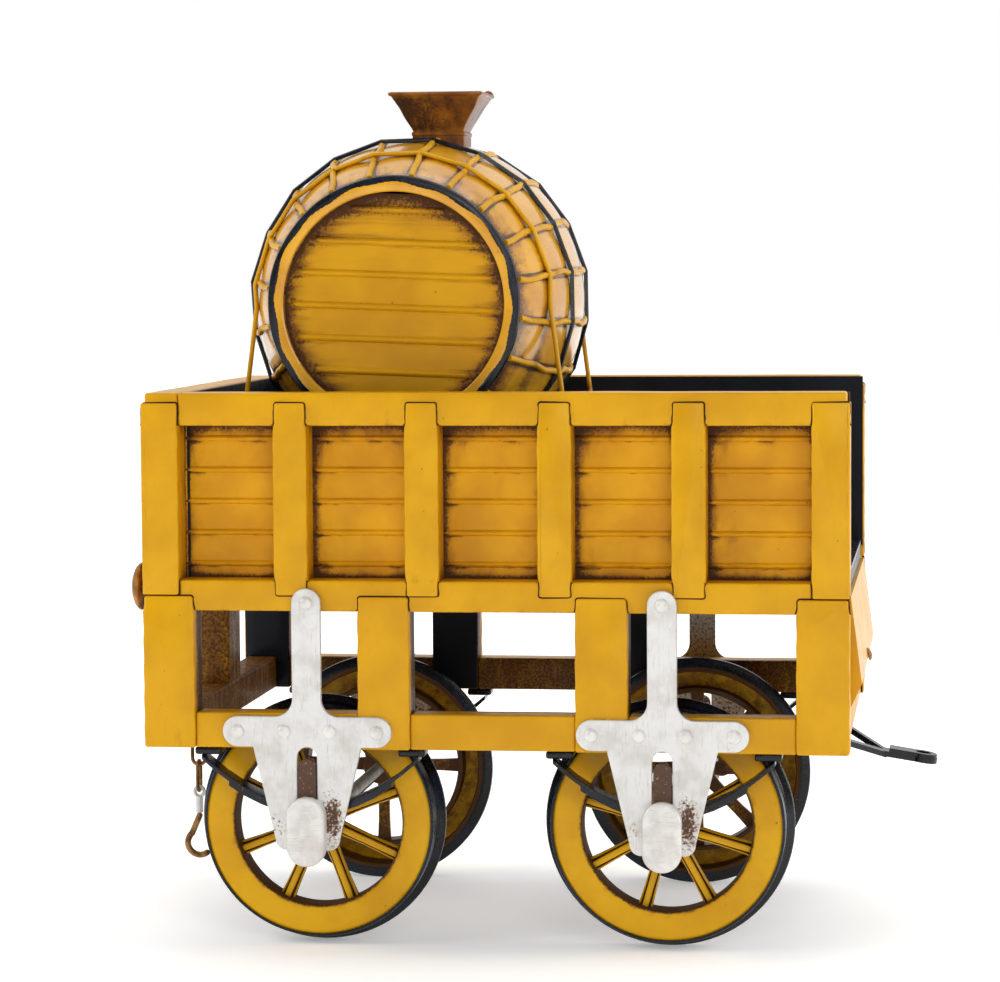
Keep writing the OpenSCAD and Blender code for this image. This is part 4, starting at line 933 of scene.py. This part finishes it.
# a head: rows of points across a circle, raised in six arched beads with tapered ends, and turned a little
z = [np.linspace(-HEAD_R, HEAD_R, 90)] + [b + np.linspace(-1, 1, 11) * HEAD_BEAD for b in head_beads]
z = np.unique(np.round(np.concatenate(z), 3))
z = z[np.abs(z) < HEAD_R - 0.01][:, None]
x = np.linspace(-1, 1, 90)[None, :] * np.sqrt(HEAD_R ** 2 - z ** 2)
rise = np.zeros_like(x)
for b in head_beads:
    taper = np.clip((math.sqrt(BEAD_END ** 2 - b ** 2) - 0.5 - np.abs(x)) / 1.2, 0, 1)
    rise = np.maximum(rise, 0.8 * np.clip(1 - ((z - b) / HEAD_BEAD) ** 2, 0, 1) * np.sqrt(taper))
head_x = AXIS[0] + x * math.cos(HEAD_TURN) + z * math.sin(HEAD_TURN)
head_z = AXIS[1] + z * math.cos(HEAD_TURN) - x * math.sin(HEAD_TURN)
n, m = x.shape
sheet = lattice(n, m)
rim_loop = np.concatenate([np.arange(m), np.arange(2, n + 1) * m - 1, (n - 1) * m + np.arange(m - 2, -1, -1),
                           np.arange(n - 2, 0, -1) * m])
edges = np.stack([rim_loop, np.roll(rim_loop, -1)], 1)
walls = np.concatenate([edges, edges[:, ::-1] + n * m], 1)
for side, node in ((1, "barrel_head_left"), (-1, "barrel_head_right")):
    front = np.stack([head_x, side * (HEAD_Y + rise - 0.05), head_z], -1).reshape(-1, 3)
    back = front.copy()
    back[:, 1] = side * (HEAD_Y - 1.0)
    shell = np.concatenate([front, back]), sheet.tolist() + (sheet + n * m).tolist() + walls.tolist()
    build(node + "_pressed", [shell], HEAD, "frame", [node], head_tone, 50)

# a rib: a bent wire that wanders a little round the barrel, and leaves room for the hopper
shells = []
y = np.linspace(-HALF + 2.4, HALF - 2.4, 90)
r = side_r(y) + 0.1
for k in range(RIBS):
    a = math.radians(RIB_PHASE + k * RIB_STEP)
    wander = 0.35 * np.sin(y * 0.21 + k * 1.9) + 0.18 * np.sin(y * 0.53 + k)
    path = np.stack([AXIS[0] + r * math.cos(a) - wander * math.sin(a), y,
                     AXIS[1] + r * math.sin(a) + wander * math.cos(a)], 1)
    covered = np.where((np.abs(path[:, 0] - hop_x) < 5.6) & (np.abs(y) < 5.6) & (path[:, 2] > AXIS[1] + 30))[0]
    lengths = [path[:covered[0]], path[covered[-1] + 1:]] if len(covered) else [path]
    shells += [swept(part, [-math.sin(a), 0, math.cos(a)], round_section(0.8, 12, 1.1)) for part in lengths]
build("barrel_rib_wires", shells, YELLOW, "frame", ["barrel_ribs"],
      lambda p: tones(p, 0.35 * (ripple(p, 9.0) > 0.3)), 50)


def drape(angle, y):
    """Height of a band over the staves and its shift along the barrel: straight chords from rib to rib,
    kinked to and fro at each rib."""
    turn = (np.degrees(angle) - RIB_PHASE) / RIB_STEP
    rib = np.floor(turn)
    part = turn - rib
    chord = math.cos(math.radians(RIB_STEP / 2)) / np.cos(np.radians((part - 0.5) * RIB_STEP))
    kinks = [0.75 * np.cos(math.pi * n) + 0.35 * np.sin(2.3 * n + y) for n in (rib % RIBS, (rib + 1) % RIBS)]
    return (R_MID + RIB_H) * chord - R_MID, kinks[0] * (1 - part) + kinks[1] * part


shells = []
for low, high in sorted(solids("barrel_hoops"), key=lambda b: b[0][1]):
    mid, width = (low[1] + high[1]) / 2, high[1] - low[1]
    r, end, y = side_r(mid), math.copysign(1, mid), abs(mid)
    if y < HALF - 5:
        strap = ((0.0, -0.75), (0.6, -0.62), (0.9, 0), (0.6, 0.62), (0.0, 0.75), (-0.2, 0))
        rows = [(r + dr, mid + dy) for dr, dy in strap]
        shells.append(turned(rows, AXIS, 240, lambda a, y=mid: drape(a, y)))
    else:
        rows = [(side_r(y - 1.1) + 0.02, y - width / 2), (r + 0.75, y - width * 0.35), (r + 1.0, y),
                (r + 0.7, y + width * 0.38), (R_END + 0.7, HALF - 0.25), (R_END - 0.1, HALF - 0.02), (r - 0.4, y)]
        shells.append(turned(rows, AXIS, 200, lambda a: (0.12 * np.sin(7 * a) * np.sin(3 * a) - 0.1, 0 * a), end))
build("barrel_hoop_bands", shells, BLACK, "frame", ["barrel_hoops"],
      lambda p: tones(p, 0.3 * (ripple(p, 13.0) > 0.2)), 50)

# a tie: draped over the barrel, then straight down on both sides to a foot on the floor
TIE_X, FOOT_X = 45.0, 45.2
tie_foot = corners("barrel_ties")[0][2]
shells = []
for low, high in solids("barrel_ties"):
    y = (low[1] + high[1]) / 2
    a = np.linspace(math.radians(-2), math.radians(182), 200)
    lift, slide = drape(a, y)
    r = side_r(y) + lift + 0.4
    arc = np.stack([AXIS[0] + r * np.cos(a), y + slide, AXIS[1] + r * np.sin(a)], 1)
    t = np.linspace(0, 1, 24)[1:, None]
    legs = []
    for top, sign in ((arc[0], 1), (arc[-1], -1)):
        top = np.array([top[0], y, top[2]])
        legs.append(top + (np.array([AXIS[0] + sign * TIE_X, y, tie_foot + 0.5]) - top) * t)
    shells.append(swept(np.concatenate([legs[0][::-1], arc, legs[1]]), [0, 1, 0], round_section(0.95, 12, 0.62)))
    for x in (AXIS[0] - FOOT_X, AXIS[0] + FOOT_X):
        shells.append(rounded_box([x - 1.5, y - 1.7, tie_foot], [x + 1.5, y + 1.7, tie_foot + 1.0], 0.3, 3, 0.0))
build("barrel_tie_bands", shells, YELLOW, "frame", ["barrel_ties"],
      lambda p: tones(p, 0.45 * fade(p[:, 2] - tie_foot - 42, 9) + 0.25 * (ripple(p, 7.0) > 0.4)), 50)

# ---------------------------------------------------------------- hopper

hop_w = (hop_high[0] - hop_low[0]) / 2
hop_base = hop_w * 13.6 / 24
KNOB_H, FUNNEL_H, BORE_R = 1.1, 11.0, 4.2
hop_top = hop_high[2] - KNOB_H
hop_foot = hop_top - FUNNEL_H


def square_ring(half, z, corner, steps=6):
    """Square of a half width with rounded corners, at a height over the hopper's foot."""
    pts = []
    for q, (sx, sy) in enumerate([(1, 1), (-1, 1), (-1, -1), (1, -1)]):
        a = np.linspace(0, math.pi / 2, steps) + q * math.pi / 2
        pts.append((half - corner) * np.array([sx, sy]) + corner * np.stack([np.cos(a), np.sin(a)], 1))
    ring = np.concatenate(pts)
    return np.column_stack([hop_x + ring[:, 0], ring[:, 1], np.full(len(ring), hop_foot + z)])


# rows of (half width, height, corner radius): the foot, the flared outside, the folded rim, the inside
rows = [(hop_base - 0.2, 0.0, 0.4), (hop_base, 0.25, 0.5), (hop_base, 0.9, 0.5), (hop_base - 0.35, 1.25, 0.5)]
for t in np.linspace(0, 1, 12)[1:]:
    rows.append((hop_base - 0.35 + (hop_w - 0.4 - hop_base) * t ** 1.08, 1.25 + 8.6 * t, 0.6))
rows += [(hop_w - 0.3, 10.0, 0.7), (hop_w, 10.3, 0.8), (hop_w - 0.02, 10.75, 0.8), (hop_w - 0.4, 10.98, 0.8),
         (hop_w - 1.0, 10.8, 0.7), (hop_w - 1.5, 10.2, 0.6)]
rows += [(hop_w - 1.5 + (hop_base - 0.1 - hop_w) * t, 10.2 - 8.4 * t, 0.5) for t in np.linspace(0, 1, 10)[1:]]
rings = [square_ring(*row) for row in rows]
# a skirt that follows the barrel under the foot, and the bore down into the tank
skirt = rings[0].copy()
skirt[:, 2] = AXIS[1] + np.sqrt(side_r(skirt[:, 1]) ** 2 - (skirt[:, 0] - AXIS[0]) ** 2) - 0.3
turn = np.arctan2(skirt[:, 1], skirt[:, 0] - hop_x)
rings.insert(0, skirt)
for z in (0.9, -3.4):
    circle = np.stack([np.cos(turn), np.sin(turn), 0 * turn], 1)
    rings.append([hop_x, 0, hop_foot + z] + BORE_R * circle)
points = np.concatenate(rings)
dents = np.clip((points[:, 2] - hop_foot - 1.5) / 4, 0, 1) * np.clip((hop_top - 1.6 - points[:, 2]) / 2, 0, 1)
points[:, 0] += 0.22 * ripple(points, 9.0, 2.0) * dents * np.sign(hop_x - points[:, 0])


def hopper_tone(p):
    """Umber all over but for a cleaner rim and a band at the foot, a painted highlight on the right-hand face, and
    black down the bore as its painted shade.
    """
    height = (p[:, 2] - hop_foot) / FUNNEL_H
    rim = np.clip((height - 0.86) * 12, 0, 1)
    foot = np.clip(1 - np.abs(height - 0.06) * 9, 0, 1)
    # the right-hand face painted lighter, with less patina and pale chips: a painted highlight
    right = p[:, 0] - hop_x > hop_w * 0.45
    # black down the bore: painted shade of the opening
    bore_painted_shade = np.hypot(p[:, 0] - hop_x, p[:, 1]) < BORE_R + 0.1
    return tones(p, np.clip(0.6 - 0.6 * rim - 0.4 * foot - 0.45 * right, 0, 1), 0.2 * right, bore_painted_shade)


knob = dome([hop_high[0] - 1.5, hop_high[1] - 1.5, hop_top - 0.25], [0, 0, 1], 1.4, 1.3)
build("hopper_funnel", [(points, tube(len(rings), len(skirt))), knob], HOPPER, "frame", ["hopper"],
      hopper_tone, 35)

# ---------------------------------------------------------------- pieces that keep the frame's own shape

for node, material in (("floor_plate", BLACK), ("axle_rear", STEEL), ("axle_front", STEEL), ("barrel_cradle", OCHRE),
                       ("drawbar_bracket", BLACK), ("drawbar", BLACK), ("chain_eye", BRONZE),
                       ("chain_link_top", BRONZE), ("chain_link_middle", BRONZE), ("chain_link_bottom", BRONZE),
                       ("hook_collar", SILVER), ("coupling_hook", BRONZE)):
    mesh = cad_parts[node].data
    mesh.materials.clear()
    mesh.materials.append(material)

# ---------------------------------------------------------------- stage


def floor_material():
    """Matt white card that glows a little, more so away from the object, so that it shows only faint shadows."""
    material = bpy.data.materials.new("white_card")
    material.use_nodes = True
    tree = material.node_tree
    shader = tree.nodes["Principled BSDF"]
    shader.inputs["Base Color"].default_value = linear("#FAFAF8")
    shader.inputs["Roughness"].default_value = 0.7
    shader.inputs["Emission Color"].default_value = linear("#FFFFFF")
    place = add(tree, "TexCoord", {}, "Object")
    away = add(tree, "VectorMath", {0: place}, "Value", operation="LENGTH")
    glow = add(tree, "MapRange", {0: away, 1: 0.12, 2: 0.6, 3: 0.3, 4: 0.75}, interpolation_type="SMOOTHSTEP")
    tree.links.new(glow, shader.inputs["Emission Strength"])
    return material


mesh = bpy.data.meshes.new("floor_card")
mesh.from_pydata([(-6, -6, 0), (6, -6, 0), (6, 6, 0), (-6, 6, 0)], [], [(0, 1, 2, 3)])
mesh.materials.append(floor_material())
floor = bpy.data.objects.new("floor_card", mesh)
bpy.context.scene.collection.objects.link(floor)


def softbox(name, place, target, size, power):
    """White lamp with a square face that looks at a point."""
    data = bpy.data.lights.new(name, "AREA")
    data.shape = "RECTANGLE"
    data.size, data.size_y = size
    data.energy = power
    lamp = bpy.data.objects.new(name, data)
    lamp.location = place
    lamp.rotation_euler = (Vector(target) - Vector(place)).to_track_quat("-Z", "Y").to_euler()
    bpy.context.scene.collection.objects.link(lamp)


softbox("left_box", (-0.95, -0.45, 0.75), (0, 0, 0.09), (0.7, 0.7), 5.0)
softbox("front_box", (0.35, -1.3, 0.65), (0, 0, 0.08), (0.8, 0.6), 5.6)
softbox("right_box", (0.95, 0.1, 0.5), (0, 0, 0.1), (0.5, 0.7), 4)
softbox("top_box", (0.0, 0.2, 1.1), (0, 0, 0.1), (0.9, 0.9), 3.5)

# a white tent: it lights the object softly, most of all from behind, and fills the view
world = bpy.data.worlds.new("studio_white")
bpy.context.scene.world = world
world.use_nodes = True
sky = world.node_tree
toward = add(sky, "TexCoord", {}, "Generated")
depth = add(sky, "SeparateXYZ", {0: toward}, 1)
tent = add(sky, "MapRange", {0: depth, 1: -0.5, 2: 0.9, 3: 0.18, 4: 0.95}, interpolation_type="SMOOTHSTEP")
seen = add(sky, "LightPath", {}, "Is Camera Ray")
shine = add(sky, "Mix", {0: seen, 2: tent, 3: 1.0}, 0, data_type="FLOAT")
sky.nodes["Background"].inputs[0].default_value = linear("#FFFFFF")
sky.links.new(shine, sky.nodes["Background"].inputs[1])
bpy.context.scene.view_settings.view_transform = "Standard"

EYE = (0.10425, -0.8613, 0.1672)
YAW, PITCH, ROLL = math.radians(-7.73), math.radians(3.89), math.radians(-0.37)
look = Vector((math.sin(YAW) * math.cos(PITCH), math.cos(YAW) * math.cos(PITCH), -math.sin(PITCH)))
right = look.cross(Vector((0, 0, 1))).normalized()
up = right.cross(look)
right, up = right * math.cos(ROLL) + up * math.sin(ROLL), up * math.cos(ROLL) - right * math.sin(ROLL)
lens = bpy.data.cameras.new("camera")
lens.sensor_width = 36
lens.lens = 122.4
lens.clip_start, lens.clip_end = 0.01, 20
camera = bpy.data.objects.new("camera", lens)
camera.matrix_world = Matrix.Translation(EYE) @ Matrix((right, up, -look)).transposed().to_4x4()
bpy.context.scene.collection.objects.link(camera)
bpy.context.scene.camera = camera
